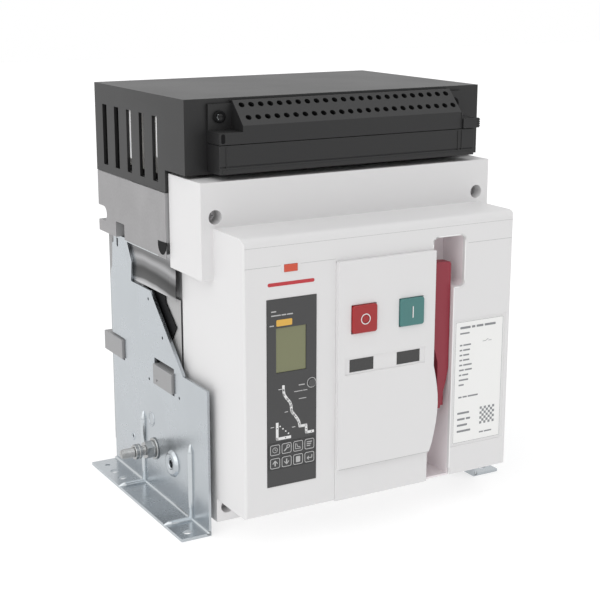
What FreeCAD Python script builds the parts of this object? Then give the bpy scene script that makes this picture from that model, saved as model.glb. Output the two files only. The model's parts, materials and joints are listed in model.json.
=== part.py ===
"""Fixed three-pole air circuit breaker, 2000 A frame.

The row frame stands on the floor: +Z is up, the front looks towards -Y, and the origin is the centre
of the four foot bolts. Depths are counted behind the front face, so a depth of 0 is the face itself.
"""
import FreeCAD, Part
import math
import os
import re
import Sketcher
from FreeCAD import Placement, Rotation, Vector

os.makedirs("parts", exist_ok=True)
doc = FreeCAD.newDocument("air_circuit_breaker")
dims = doc.addObject("Spreadsheet::Sheet", "dims")

DIMENSIONS = {
    # front cover
    "face_y": -158.5, "face_half": 144.2, "face_low": 34.9, "face_high": 289,
    "shoulder_half": 155.8, "shoulder_depth": 57.5, "shoulder_low": 242.5, "shoulder_high": 329.8,
    "cover_depth": 124.8, "skirt_low": 12, "wall": 3, "top_round": 8, "edge_round": 3,
    "screw_bore": 6.5, "screw_sink": 14,
    # operating panel and its buttons
    "panel_left": -52.3, "panel_right": 52, "panel_high": 260.5, "panel_step": 66.5, "panel_proud": 5,
    "bulge_right": 57.7, "bulge_low": 75, "bulge_high": 151, "panel_fit": 0.1,
    "button_side": 25.8, "button_z": 206.7, "stop_x": -25.8, "start_x": 25.2, "button_gap": 0.4,
    "window_z": 163.4, "window_wide": 25.6, "window_tall": 12, "stop_lens_x": -27, "start_lens_x": 23.8,
    # charging handle and its well
    "well_left": 52.2, "well_right": 87.5, "well_high": 271, "well_mid": 222.5, "well_wall": 2,
    "channel_right": 75.8, "well_depth": 36, "pocket_round": 5,
    "handle_left": 58.2, "handle_right": 75.3, "handle_high": 247, "handle_front": 4, "handle_thick": 12,
    "handle_pivot_depth": 24, "handle_pivot_z": 112, "handle_pin_radius": 3,
    # electronic trip unit
    "trip_left": -122, "trip_right": -72.4, "trip_low": 61.8, "trip_high": 233.6,
    "lcd_left": -113.1, "lcd_right": -82.9, "lcd_low": 167, "lcd_high": 207.6,
    "reset_x": -77.4, "reset_z": 153.5, "reset_radius": 3.6,
    "key_left": -115, "key_pitch": 11.7, "key_low": 84, "key_rise": 12.6, "key_side": 9.4,
    # rating label
    "label_left": 79.5, "label_right": 136.2, "label_low": 66, "label_high": 187.6,
    # auxiliary terminal block
    "block_front": 57, "block_half": 137, "block_low": 335.5, "block_split": 361,
    "cap_left": -113.8, "cap_right": 121.2, "cap_ledge": 372, "ear_x": 126.5, "ear_z": 384, "ear_thick": 3,
    "slope_low": 377.5, "slope_high": 397.8, "slope_depth": 77.5,
    "hole_radius": 2.8, "hole_first": -105, "hole_pitch": 9.59, "hole_columns": 24, "row_shift": -1.6,
    # arc cover
    "case_half": 158.8, "case_top": 400, "arc_front": 82.3, "arc_back": 294.8, "arc_low": 312,
    "arc_step": 333, "arc_step_depth": 125.4, "vent_width": 11, "vent_low": 320, "vent_high": 380,
    "vent_first": 147, "vent_pitch": 30.6,
    # pole housing
    "housing_split": 205, "housing_back": 292.5, "rim_low": 250, "rim_front": 126, "front_half": 143,
    "rear_half": 149.6, "housing_low": 22, "phase_pitch": 94.5, "pole_half": 38,
    "lug_out": 155.5, "front_lug_near": 130, "front_lug_far": 173, "rear_lug_near": 252, "rear_lug_far": 299,
    # side brackets
    "plate_out": 153, "plate_thick": 2.5, "foot_out": 181, "foot_thick": 3, "foot_bolt_x": 169.5,
    "foot_hole": 4.5, "bolt_front": 69.6, "bolt_rear": 247.4, "plate_near": 57, "plate_far": 282.5,
    "return_in": 149.5, "rib_radius": 3.2, "rib_high": 71, "bush_depth": 136.2, "bush_z": 45.2,
    # current path
    "terminal_end": 318, "bar_half": 30, "bar_thick": 15, "upper_z": 214, "lower_z": 92,
    "terminal_pad": 0.6, "terminal_pad_from": 294, "terminal_hole": 5.5, "terminal_hole_x": 15,
    "terminal_hole_depth": 305,
    # mechanism
    "shaft_depth": 110, "shaft_z": 120, "shaft_radius": 12, "crank": 45, "crank_pin": 4,
    "carrier_depth": 222, "carrier_z": 122, "carrier_pin_radius": 5,
    "charge_depth": 90, "charge_z": 170, "charge_radius": 8, "ratchet_radius": 20, "ratchet_teeth": 16,
    "mech_half": 46, "mech_thick": 4, "half_shaft_radius": 4, "half_shaft_depth": 34,
    "trip_shaft_z": 188, "close_shaft_z": 226,
    # earthing stud
    "stud_depth": 178.9, "stud_z": 47, "stud_radius": 5, "shank_radius": 4.8, "stud_tip": 189,
    "thread_length": 12,
}
PARTS = []
POLES = {"a": "-phase_pitch", "b": "0", "c": "phase_pitch"}


def fill_sheet():
    for row, (name, value) in enumerate(DIMENSIONS.items(), 1):
        dims.set(f"A{row}", name)
        dims.set(f"B{row}", str(value))
        dims.setAlias(f"B{row}", name)
    doc.recompute()


def sheet_words(text):
    """An expression with each dimension's name led by the sheet's."""
    named = lambda word: f"dims.{word.group(0)}" if word.group(0) in DIMENSIONS else word.group(0)
    return re.sub(r"[a-z_]+", named, str(text))


def bind(item, attribute, text):
    item.setExpression(attribute, sheet_words(text))


def size_of(text):
    """The number that an expression in the sheet's names gives now, for shapes set in code."""
    return number_now(sheet_words(text))


def number_now(text):
    probe = doc.getObject("probe") or doc.addObject("App::FeaturePython", "probe")
    if not hasattr(probe, "Value"):
        probe.addProperty("App::PropertyFloat", "Value")
    probe.setExpression("Value", text)
    probe.recompute()
    return probe.Value


def deep(depth):
    """A Y expression for a depth behind the front face."""
    return f"face_y + ({depth})"


def behind(near, far):
    return (deep(near), deep(far))


def about(middle, half):
    return (f"({middle}) - ({half})", f"({middle}) + ({half})")


def box(name, x, y, z):
    """Box between the low and high expressions of each axis."""
    item = doc.addObject("Part::Box", name)
    for axis, size, (low, high) in zip("xyz", ("Length", "Width", "Height"), (x, y, z)):
        bind(item, size, f"({high}) - ({low})")
        bind(item, f"Placement.Base.{axis}", low)
    return item


TURNS = {"x": Rotation(Vector(0, 1, 0), 90), "y": Rotation(Vector(1, 0, 0), -90), "z": Rotation()}


def rod(name, axis, radius, x, y, z):
    """Cylinder along one axis; that axis has a (low, high) pair and the others one expression."""
    item = doc.addObject("Part::Cylinder", name)
    item.Placement = Placement(Vector(), TURNS[axis])
    bind(item, "Radius", radius)
    for letter, place in zip("xyz", (x, y, z)):
        if letter == axis:
            bind(item, "Height", f"({place[1]}) - ({place[0]})")
            place = place[0]
        bind(item, f"Placement.Base.{letter}", place)
    return item


def nut(name, across, x, y, z):
    """Hexagonal prism along X."""
    item = doc.addObject("Part::Prism", name)
    item.Polygon = 6
    item.Placement = Placement(Vector(), TURNS["x"])
    bind(item, "Circumradius", f"({across}) / 2 / cos(30 deg)")
    bind(item, "Height", f"({x[1]}) - ({x[0]})")
    for letter, place in zip("xyz", (x[0], y, z)):
        bind(item, f"Placement.Base.{letter}", place)
    return item


def fuse(name, items):
    if len(items) == 1:
        return items[0]
    item = doc.addObject("Part::MultiFuse", name)
    item.Shapes = items
    item.Refine = True
    return item


def cut(name, base, tools):
    item = doc.addObject("Part::Cut", name)
    item.Base = base
    item.Tool = fuse(name + "_tools", tools)
    item.Refine = True
    return item


def group(name, items):
    """Several separate solids of one node."""
    item = doc.addObject("Part::Compound", name)
    item.Links = items
    return item


def fillet(name, base, rules):
    """Part::Fillet whose edges are chosen by rules, a list of (radius, test of an edge's middle)."""
    doc.recompute()
    item = doc.addObject("Part::Fillet", name)
    item.Base = base
    chosen = []
    for number, edge in enumerate(base.Shape.Edges, 1):
        box_of_edge = edge.BoundBox
        for radius, wanted in rules:
            if wanted(box_of_edge):
                chosen.append((number, radius, radius))
                break
    item.Edges = chosen
    return item


def part(name, item):
    item.Label = name
    PARTS.append(item)
    return item


def plane_of(body, role):
    return next(item for item in body.Origin.OriginFeatures if item.Role == role)


def outline(body, name, role, points, offset="0"):
    """Closed sketch of straight lines with every corner bound to the sheet.

    A point is (across, up) as expressions. XZ_Plane looks along +Y and YZ_Plane along -X.
    """
    sketch = body.newObject("Sketcher::SketchObject", name)
    sketch.AttachmentSupport = (plane_of(body, role), [""])
    sketch.MapMode = "FlatFace"
    bind(sketch, "AttachmentOffset.Base.z", offset)
    places = [Vector(size_of(across), size_of(up), 0) for across, up in points]
    count = len(places)
    for i in range(count):
        sketch.addGeometry(Part.LineSegment(places[i], places[(i + 1) % count]), False)
    for i in range(count):
        sketch.addConstraint(Sketcher.Constraint("Coincident", i, 2, (i + 1) % count, 1))
    for i, (across, up) in enumerate(points):
        for kind, value, text in (("DistanceX", places[i].x, across), ("DistanceY", places[i].y, up)):
            where = sketch.addConstraint(Sketcher.Constraint(kind, i, 1, value))
            bind(sketch, f"Constraints[{where}]", text)
    return sketch


def new_body(name):
    return doc.addObject("PartDesign::Body", name)


def pad(body, name, sketch, length, symmetric=False, flipped=False):
    item = body.newObject("PartDesign::Pad", name)
    item.Profile = sketch
    bind(item, "Length", length)
    item.Midplane = symmetric
    item.Reversed = flipped
    return item


def slab(name, points, x):
    """Body with an outline in the YZ plane, padded along X between two expressions."""
    body = new_body(name)
    sketch = outline(body, name + "_outline", "YZ_Plane", points, x[0])
    pad(body, name + "_pad", sketch, f"({x[1]}) - ({x[0]})")
    return body


def front_slab(name, points, y):
    """Body with an outline in the XZ plane, padded along Y between two expressions."""
    body = new_body(name)
    sketch = outline(body, name + "_outline", "XZ_Plane", points, f"-({y[0]})")
    pad(body, name + "_pad", sketch, f"({y[1]}) - ({y[0]})", flipped=True)
    return body


# ---------------------------------------------------------------- front cover

COVER_SCREWS = [(-141.8, 298.8), (141.8, 298.8), (-133.5, 26), (133.5, 26)]


def rounded_pocket(name, x, y, z, radius):
    """Box with its upper and right-hand corners rounded, seen from the front."""
    block = box(f"{name}_block", x, y, z)
    doc.recompute()
    middle = block.Shape.BoundBox.Center
    return fillet(name, block, [
        (radius, lambda b: b.YLength > 1 and (b.ZMin > middle.z or b.XMin > middle.x))])


def panel_edge():
    """Right edge of the operating panel from its top to its step, bulging beside the handle."""
    low, high = size_of("bulge_low"), size_of("bulge_high")
    steps = 8
    points = [("panel_right", "panel_high"), ("panel_right", "bulge_high")]
    for i in range(1, steps):
        share = i / steps
        swell = math.sin(math.pi * share)
        points.append((f"panel_right + (bulge_right - panel_right) * {swell:.4f}",
                       f"{high + (low - high) * share:.3f}"))
    return points + [("panel_right", "bulge_low")]


def front_cover():
    face = box("face_block", about(0, "face_half"), behind(0, "cover_depth"), ("face_low", "face_high"))
    doc.recompute()
    front, top = face.Shape.BoundBox.YMin, face.Shape.BoundBox.ZMax
    at_front = lambda b: abs(b.YMin - front) < 0.01 and b.YLength < 0.01
    at_top = lambda b: abs(b.ZMin - top) < 0.01
    face = fillet("face_rounded", face, [
        (DIMENSIONS["top_round"], lambda b: at_front(b) and at_top(b)),
        (DIMENSIONS["edge_round"], at_front)])
    shoulder = box("shoulder_block", about(0, "shoulder_half"), behind("shoulder_depth", "cover_depth"),
                   ("shoulder_low", "shoulder_high"))
    skirt = box("skirt_block", about(0, "face_half"), behind("shoulder_depth", "cover_depth"),
                ("skirt_low", "face_low + 2"))
    shell = fuse("cover_outer", [face, shoulder, skirt])
    inner_half = "face_half - wall"
    hollows = [
        box("face_hollow", about(0, inner_half), behind("wall", "cover_depth + 1"),
            ("face_low + wall", "face_high - wall")),
        box("shoulder_hollow", about(0, "shoulder_half - wall"),
            behind("shoulder_depth + wall", "cover_depth + 1"),
            ("shoulder_low + wall", "shoulder_high - wall")),
        box("skirt_hollow", about(0, inner_half), behind("shoulder_depth + wall", "cover_depth + 1"),
            ("skirt_low + wall", "face_low + wall + 1")),
        box("trip_opening", ("trip_left - 0.3", "trip_right + 0.3"), behind(-1, 10),
            ("trip_low - 0.3", "trip_high + 0.3")),
        box("panel_opening", ("panel_left - panel_fit", "channel_right"), behind(-1, 10),
            ("face_low - 1", "panel_high + panel_fit")),
        rounded_pocket("well_opening", ("well_left", "well_right"), behind(-1, 10),
                       ("well_mid", "well_high"), DIMENSIONS["pocket_round"]),
        box("channel_foot", ("well_left - well_wall - 0.3", "channel_right + well_wall + 0.3"),
            behind(-1, "well_depth + 0.3"), ("face_low - 1", "face_low + 8")),
        box("label_recess", ("label_left - 2.5", "label_right + 2.5"), behind(-1, 0.6),
            ("label_low - 2.5", "label_high + 2.5")),
        box("lamp_opening", (-104.9, -91.5), behind(-1, 10), (256.9, 263.7)),
    ]
    bosses = []
    for i, (x, z) in enumerate(COVER_SCREWS):
        hollows.append(rod(f"sink_{i}", "y", "screw_bore", x,
                           behind("shoulder_depth - 1", "shoulder_depth + screw_sink"), z))
        hollows.append(rod(f"screw_way_{i}", "y", 2.6, x, behind("shoulder_depth - 1", "cover_depth"), z))
        bosses.append(rod(f"boss_{i}", "y", "screw_bore + 2", x,
                          behind("shoulder_depth + 1", "shoulder_depth + screw_sink + 2.5"), z))
    hollowed = cut("cover_hollowed", shell, hollows[:3])
    bossed = fuse("cover_bossed", [hollowed] + bosses)
    part("front_cover", cut("front_cover", bossed, hollows[3:]))


def cover_screws():
    """Pan-head screws at the bottom of their counterbores, with a cross recess."""
    screws = []
    for i, (x, z) in enumerate(COVER_SCREWS):
        seat = "shoulder_depth + screw_sink"
        head = rod(f"cover_head_{i}", "y", 4.6, x, behind(f"{seat} - 3.5", seat), z)
        shank = rod(f"cover_shank_{i}", "y", 2.45, x, behind(seat, f"{seat} + 48"), z)
        cross = [box(f"cross_{i}_{k}", about(x, wide), behind(f"{seat} - 4", f"{seat} - 1.7"),
                     about(z, tall)) for k, (wide, tall) in enumerate(((2.6, 0.5), (0.5, 2.6)))]
        screws.append(cut(f"cover_screw_{i}", fuse(f"cover_screw_solid_{i}", [head, shank]), cross))
    part("cover_screws", group("cover_screws", screws))


def button_panel():
    front = "-panel_proud"
    upper = front_slab("panel_upper", [("panel_left", "panel_step"), ("panel_left", "panel_high")]
                       + panel_edge() + [("panel_right - 3", "panel_step")], behind(front, -1))
    lower = box("panel_lower", ("panel_left", "panel_right - 2.5"), behind(-1, 2),
                ("face_low", "panel_high - 2"))
    tools = [
        box("stop_opening", about("stop_x", "button_side / 2 + button_gap"), behind(-9, 5),
            about("button_z", "button_side / 2 + button_gap")),
        box("start_opening", about("start_x", "button_side / 2 + button_gap"), behind(-9, 5),
            about("button_z", "button_side / 2 + button_gap")),
        box("window_band", (-45, 42), behind(-9, "-panel_proud + 1.2"), about("window_z", 7.8)),
        box("stop_window", about("stop_lens_x", "window_wide / 2"), behind(-9, 5),
            about("window_z", "window_tall / 2")),
        box("start_window", about("start_lens_x", "window_wide / 2"), behind(-9, 5),
            about("window_z", "window_tall / 2")),
    ]
    part("button_panel", cut("button_panel", fuse("panel_solid", [upper, lower]), tools))


def window_lenses():
    lenses = [box(f"lens_{side}", about(x, "window_wide / 2 - 0.05"), behind(-3.6, -1.8),
                  about("window_z", "window_tall / 2 - 0.05"))
              for side, x in (("left", "stop_lens_x"), ("right", "start_lens_x"))]
    part("window_lenses", group("window_lenses", lenses))


def push_button(name, x, mark):
    """Square cap with a raised or sunk mark, a flange behind the panel and a stem for its spring."""
    cap = box(f"{name}_cap", about(x, "button_side / 2"), behind(-8, 4),
              about("button_z", "button_side / 2"))
    doc.recompute()
    front = cap.Shape.BoundBox.YMin
    cap = fillet(f"{name}_cap_rounded", cap, [
        (2.5, lambda b: b.YLength > 1), (1.5, lambda b: abs(b.YMin - front) < 0.01 and b.YLength < 0.01)])
    flange = box(f"{name}_flange", about(x, "button_side / 2 + 1.8"), behind(2.6, 5),
                 about("button_z", "button_side / 2 + 1.8"))
    stem = rod(f"{name}_stem", "y", 4, x, behind(5, 24), "button_z")
    solid = fuse(f"{name}_solid", [cap, flange, stem])
    part(name, cut(name, solid, mark(x)))


def ring_mark(x):
    outer = rod("ring_outer", "y", 4.6, x, behind(-9, -7.5), "button_z")
    inner = rod("ring_inner", "y", 2.9, x, behind(-9.5, -7), "button_z")
    return [cut("ring_groove", outer, [inner])]


def bar_mark(x):
    return [box("bar_groove", about(x, 0.9), behind(-9, -7.5), about("button_z", 5))]


def return_spring(name, x):
    """Pair of V-shaped leaf springs, above and below a button's stem, behind its flange."""
    leaves = []
    for i, way in enumerate((1, -1)):
        corners = [(18.9, 5), (18.9, 12), (18.1, 12), (18.1, 6.1), (5.9, 12.2), (5.3, 11.6), (17.6, 5)]
        leaves.append(slab(f"{name}_leaf_{i}", [(deep(depth), f"button_z + {way * height}")
                                                for depth, height in corners], about(x, 4)))
    part(name, group(name, leaves))


def closing_spring():
    """Helical spring that closes the contacts; a helix has no bound feature, so its shape is set here."""
    radius, wire, length, turns = 13, 4, 84, 8
    pitch = (length - wire) / turns
    helix = Part.makeHelix(pitch, pitch * turns, radius)
    circle = Part.makeCircle(wire / 2, Vector(radius, 0, 0), Vector(0, 1, pitch / (2 * math.pi * radius)))
    item = doc.addObject("Part::Feature", "closing_spring")
    item.Shape = Part.Wire(helix.Edges).makePipeShell([Part.Wire([circle])], True, True)
    item.Placement = Placement(Vector(0, size_of(deep(68)), 62), Rotation())
    part("closing_spring", item)


def handle_well():
    """Tray behind the handle: finger pocket at the top and a channel down to the pivot."""
    span = behind("wall + 0.3", "well_depth")
    inner_round = DIMENSIONS["pocket_round"]
    outer_round = inner_round + DIMENSIONS["well_wall"]
    outer = [rounded_pocket("well_pocket", ("well_left - well_wall", "well_right + well_wall"), span,
                            ("well_mid - well_wall", "well_high + well_wall"), outer_round),
             box("well_channel", ("well_left - well_wall", "channel_right + well_wall"), span,
                 ("face_low", "well_mid"))]
    inner = [rounded_pocket("pocket_space", ("well_left", "well_right"), behind(0, "well_depth - well_wall"),
                            ("well_mid", "well_high"), inner_round),
             box("channel_space", ("well_left", "channel_right"), behind(0, "well_depth - well_wall"),
                 ("face_low + well_wall", "well_mid + 1")),
             box("arm_slot", (63, 70), behind("well_depth - 4", "well_depth + 2"), (88, 150)),
             rod("pin_way", "x", "handle_pin_radius", ("well_left - 3", "channel_right + 3"),
                 deep("handle_pivot_depth"), "handle_pivot_z")]
    part("handle_well", cut("handle_well", fuse("well_solid", outer), inner))


def handle_pin():
    part("handle_pin", rod("handle_pin", "x", "handle_pin_radius",
                           ("well_left - well_wall", "channel_right + well_wall"),
                           deep("handle_pivot_depth"), "handle_pivot_z"))


def charging_handle():
    """Flat lever, narrow at its pivot, with a finger rib behind its top and a pawl arm behind the hub."""
    lever = front_slab("handle_lever", [
        ("handle_left", 165), ("handle_left", "handle_high - 2"), ("handle_left + 2", "handle_high"),
        ("handle_right - 1", "handle_high - 1"), ("handle_right", "handle_high - 3"), ("handle_right", 143),
        ("handle_right - 2.5", 130), ("handle_right - 5.5", 119), (66.5, 104), (62.8, 104), (62.8, 150)],
        behind("handle_front", "handle_front + handle_thick"))
    hub = rod("handle_hub", "x", 7.5, (62.8, 71.5), deep("handle_pivot_depth"), "handle_pivot_z")
    web = box("handle_web", (62.8, 71.5), behind("handle_front + 2", "handle_pivot_depth"),
              ("handle_pivot_z - 6", "handle_pivot_z + 7"))
    arm = box("handle_arm", (64, 69), behind("handle_pivot_depth", "handle_pivot_depth + 22"),
              about("handle_pivot_z + 4", 3))
    eye = rod("handle_eye", "x", "handle_pin_radius + 0.05", (60, 80), deep("handle_pivot_depth"),
              "handle_pivot_z")
    hollow = box("handle_hollow", ("handle_left + 2.5", "handle_right - 2.5"),
                 behind("handle_front + 3", "handle_front + handle_thick + 1"), (168, "handle_high - 4"))
    solid = fuse("handle_solid", [lever, hub, web, arm])
    part("charging_handle", cut("charging_handle", solid, [eye, hollow]))


# ---------------------------------------------------------------- trip unit and label

def trip_unit():
    frame_x, frame_z = ("trip_left", "trip_right"), ("trip_low", "trip_high")
    plate = box("trip_plate", frame_x, behind(-0.6, 3), frame_z)
    tools = [box("lcd_opening", ("lcd_left - 0.1", "lcd_right + 0.1"), behind(-2, 4),
                 ("lcd_low - 0.1", "lcd_high + 0.1")),
             rod("reset_way", "y", "reset_radius + 0.3", "reset_x", behind(-2, 4), "reset_z"),
             box("membrane_seat", ("key_left - 6.2", "key_left + 3 * key_pitch + 6.2"), behind(-2, 0),
                 ("key_low - 6.2", "key_low + key_rise + 6.2"))]
    part("trip_unit_panel", cut("trip_unit_panel", plate, tools))
    part("lcd_screen", box("lcd_screen", ("lcd_left", "lcd_right"), behind(0.2, 2.6),
                           ("lcd_low", "lcd_high")))
    case = box("trip_case_solid", ("trip_left - 3", "trip_right + 3"), behind(3.4, 78),
               ("trip_low - 3", "trip_high + 3"))
    space = box("trip_case_space", ("trip_left - 0.5", "trip_right + 0.5"), behind(1, 74),
                ("trip_low + 1", "trip_high - 1"))
    part("trip_unit_case", cut("trip_unit_case", case, [space]))
    button = rod("reset_cap", "y", "reset_radius", "reset_x", behind(-2.4, 6), "reset_z")
    stop_ring = rod("reset_ring", "y", "reset_radius + 1.2", "reset_x", behind(3.6, 5.2), "reset_z")
    part("reset_button", fuse("reset_button", [button, stop_ring]))


def keypad_membrane():
    """Printed foil with eight domed keys in two rows."""
    foil = [box("foil", ("key_left - 6", "key_left + 3 * key_pitch + 6"), behind(-0.7, 0),
                ("key_low - 6", "key_low + key_rise + 6"))]
    for row in range(2):
        for column in range(4):
            foil.append(box(f"key_{row}_{column}", about(f"key_left + {column} * key_pitch", "key_side / 2"),
                            behind(-1.3, 0), about(f"key_low + {row} * key_rise", "key_side / 2")))
    part("keypad_membrane", fuse("keypad_membrane", foil))


def lamp_and_label():
    part("status_lamp", box("status_lamp", (-104.8, -91.6), behind(-0.8, 3), (257, 263.6)))
    part("rating_label", box("rating_label", ("label_left", "label_right"), behind(0.1, 0.6),
                             ("label_low", "label_high")))


# ---------------------------------------------------------------- auxiliary terminals

EARS = (("left", "-ear_x"), ("right", "ear_x"))


def wire_ways():
    """Two rows of round wire ways, square to the sloped face: the front row, then the upper one."""
    rows = ((0.81, "hole_first + row_shift"), (0.31, "hole_first"))
    holes = []
    for row, (share, first) in enumerate(rows):
        y = deep(f"block_front + {share} * (slope_depth - block_front) - 1.4")
        for column in range(DIMENSIONS["hole_columns"]):
            hole = doc.addObject("Part::Cylinder", f"wire_way_{row}_{column}")
            hole.Placement = Placement(Vector(), Rotation(Vector(1, 0, 0), -135))
            bind(hole, "Radius", "hole_radius")
            hole.Height = 14
            bind(hole, "Placement.Base.x", f"{first} + {column} * hole_pitch")
            bind(hole, "Placement.Base.y", y)
            bind(hole, "Placement.Base.z", f"slope_low + {share} * (slope_high - slope_low) + 1.4")
            holes.append(hole)
    return holes


def terminal_block():
    base = box("base_solid", about(0, "block_half"), behind("block_front", "arc_front - 0.3"),
               ("block_low", "block_split"))
    groove = box("base_groove", about(0, "block_half + 1"), behind("block_front - 1", "block_front + 0.8"),
                 ("block_low + 6", "block_low + 7"))
    part("terminal_base", cut("terminal_base", base, [groove]))
    ledge = box("cap_ledge_solid", about(0, "block_half"), behind("block_front", "arc_front - 0.3"),
                ("block_split + 0.6", "cap_ledge"))
    ridge = slab("cap_ridge", [
        (deep("block_front"), "block_split + 0.6"), (deep("block_front"), "slope_low"),
        (deep("slope_depth"), "slope_high"), (deep("arc_front - 0.3"), "slope_high"),
        (deep("arc_front - 0.3"), "block_split + 0.6")], ("cap_left", "cap_right"))
    ear_front = "arc_front - 0.3 - ear_thick"
    ears = box("cap_ears", about(0, "block_half"), behind(ear_front, "arc_front - 0.3"),
               ("cap_ledge - 1", "slope_high - 2.4"))
    ways = [rod(f"ear_way_{side}", "y", 2.2, x, behind(f"{ear_front} - 2", "arc_front + 1"), "ear_z")
            for side, x in EARS]
    part("terminal_cap", cut("terminal_cap", fuse("cap_solid", [ledge, ridge, ears]), wire_ways() + ways))
    screws = []
    for side, x in EARS:
        head = rod(f"ear_head_{side}", "y", 4.4, x, behind(f"{ear_front} - 2.5", ear_front), "ear_z")
        slot = box(f"ear_slot_{side}", about(x, 5), behind(f"{ear_front} - 3", f"{ear_front} - 1.5"),
                   about("ear_z", 0.5))
        shank = rod(f"ear_shank_{side}", "y", 2.1, x, behind(ear_front, "arc_front + 8"), "ear_z")
        screws.append(cut(f"ear_screw_{side}", fuse(f"ear_screw_solid_{side}", [head, shank]), [slot]))
    part("terminal_screws", group("terminal_screws", screws))


# ---------------------------------------------------------------- arc cover and arc chutes

def arc_cover():
    top = box("arc_top", about(0, "case_half"), behind("arc_front", "arc_back"), ("arc_step", "case_top"))
    rear = box("arc_rear", about(0, "case_half"), behind("arc_step_depth", "arc_back"),
               ("arc_low", "arc_step + 1"))
    tools = [box("arc_hollow", about(0, "case_half - wall"), behind("arc_front + wall", "arc_back - wall"),
                 ("arc_step + 2.5", "case_top - wall")),
             box("arc_mouth", about(0, "case_half - wall"),
                 behind("arc_step_depth + wall", "arc_back - wall"), ("arc_low - 1", "arc_step + 3"))]
    for i in range(5):
        near, far = about(f"vent_first + {i} * vent_pitch", "vent_width / 2")
        tools.append(box(f"vent_{i}", about(0, "case_half + 1"), behind(near, far),
                         ("vent_low", "vent_high")))
    tools += [rod(f"ear_thread_{side}", "y", 2.15, x, behind("arc_front - 1", "arc_front + 9"), "ear_z")
              for side, x in EARS]
    part("arc_cover", cut("arc_cover", fuse("arc_outer", [top, rear]), tools))


def arc_chutes():
    """Per pole: an insulating frame of two cheeks, a back and a lid, and its stack of steel splitters."""
    for pole, x in POLES.items():
        frame = box(f"chute_block_{pole}", about(x, "pole_half"), behind(140, 284), (318, 390))
        space = [box(f"chute_space_{pole}", about(x, "pole_half - 4"), behind(144, 280), (316, 386))]
        space += [box(f"chute_vent_{pole}_{i}", about(x, "pole_half - 8"),
                      behind(152 + 22 * i, 160 + 22 * i), (380, 392)) for i in range(6)]
        part(f"arc_chute_{pole}", cut(f"arc_chute_{pole}", frame, space))
        plates = []
        for i in range(12):
            depth = 150 + 11 * i
            plate = box(f"splitter_{pole}_{i}", about(x, "pole_half - 4.5"), behind(depth - 1, depth + 1),
                        (322, 380))
            throat = box(f"throat_{pole}_{i}", about(x, 5), behind(depth - 2, depth + 2), (321, 338))
            plates.append(cut(f"splitter_plate_{pole}_{i}", plate, [throat]))
        part(f"splitter_plates_{pole}", group(f"splitter_plates_{pole}", plates))


# ---------------------------------------------------------------- pole housing

PLATE_SCREWS = ((164.2, 121.7), (278, 131))


def side_span(side, near, far):
    """An X span between two distances from the middle, on one side of the breaker."""
    return (near, far) if side > 0 else (f"-({far})", f"-({near})")


def housing_rear():
    rim = box("rear_rim", about(0, "case_half"), behind("housing_split", "housing_back"),
              ("rim_low", "arc_low"))
    lower = box("rear_lower", about(0, "rear_half"), behind("housing_split", "housing_back"),
                ("housing_low", "arc_low - 2"))
    solids, tools = [rim, lower], []
    for pole, x in POLES.items():
        tools.append(box(f"rear_room_{pole}", about(x, "pole_half"), behind("housing_split - 1", 282),
                         ("housing_low + 8", "arc_low + 1")))
        for level in ("upper_z", "lower_z"):
            tools.append(box(f"bar_way_{pole}_{level}", about(x, "bar_half"), behind(270, 300),
                             about(level, "bar_thick / 2")))
    for side in (-1, 1):
        rim_x = side_span(side, "rear_half + 0.01", "case_half + 1")
        solids.append(box(f"rear_lug_{side}", side_span(side, "rear_half - 2", "lug_out"),
                          behind("rear_lug_near", "rear_lug_far"), (121, 141)))
        tools.append(box(f"rim_notch_{side}", rim_x, behind(225.5, 247.6), ("rim_low - 1", 266)))
        tools.append(rod(f"rim_round_{side}", "x", 7.5, rim_x, deep(278.5), 269))
        tools.append(box(f"rim_round_way_{side}", rim_x, behind(278.5, 300), about(269, 7.5)))
    tools.append(rod("rear_pin_way", "x", "carrier_pin_radius", about(0, 140), deep("carrier_depth"),
                     "carrier_z"))
    part("housing_rear", cut("housing_rear", fuse("rear_solid", solids), tools))


def housing_front():
    span = behind("rim_front", "housing_split - 0.3")
    rim = box("front_rim", about(0, "case_half"), span, ("rim_low", "arc_low - 0.3"))
    lower = box("front_lower", about(0, "front_half"), span, ("housing_low + 20", "arc_low - 2"))
    solids, tools = [rim, lower], []
    for side in (-1, 1):
        for i, depth in enumerate((152, 184)):
            solids.append(rod(f"front_rib_{side}_{i}", "z", 12, f"{side} * (front_half - 10)", deep(depth),
                              ("housing_low + 20", "rim_low + 2")))
        solids.append(box(f"front_lug_{side}", side_span(side, "front_half - 2", "lug_out"),
                          behind("front_lug_near", "front_lug_far"), (117, 137)))
        tools.append(box(f"front_notch_{side}", side_span(side, "front_half + 3", "case_half + 1"),
                         behind("rim_front - 1", 144), ("rim_low - 1", 265)))
        depth, z = PLATE_SCREWS[0]
        tools.append(rod(f"lug_hole_{side}", "x", 1.5, side_span(side, "front_half + 2", 160),
                         deep(depth), z))
    for pole, x in POLES.items():
        tools.append(box(f"front_room_{pole}", about(x, "pole_half"),
                         behind("rim_front + 5", "housing_split + 1"), ("housing_low + 26", "arc_low + 1")))
        tools.append(box(f"link_way_{pole}", (f"{x} - 6", f"{x} + 14"),
                         behind("rim_front - 2", "rim_front + 8"), ("shaft_z + 5", "shaft_z + 60")))
    part("housing_front", cut("housing_front", fuse("front_solid", solids), tools))


# ---------------------------------------------------------------- side brackets

def plate_holes():
    """Depth, height and radius of the round holes in a side plate."""
    small = [(185.8, 198.8), (153.8, 167), (188.5, 116.8), (117.6, 116.8), (233.9, 42.9)]
    return [(depth, z, 1.5) for depth, z in small] + [("bush_depth", "bush_z", 4)]


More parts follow.
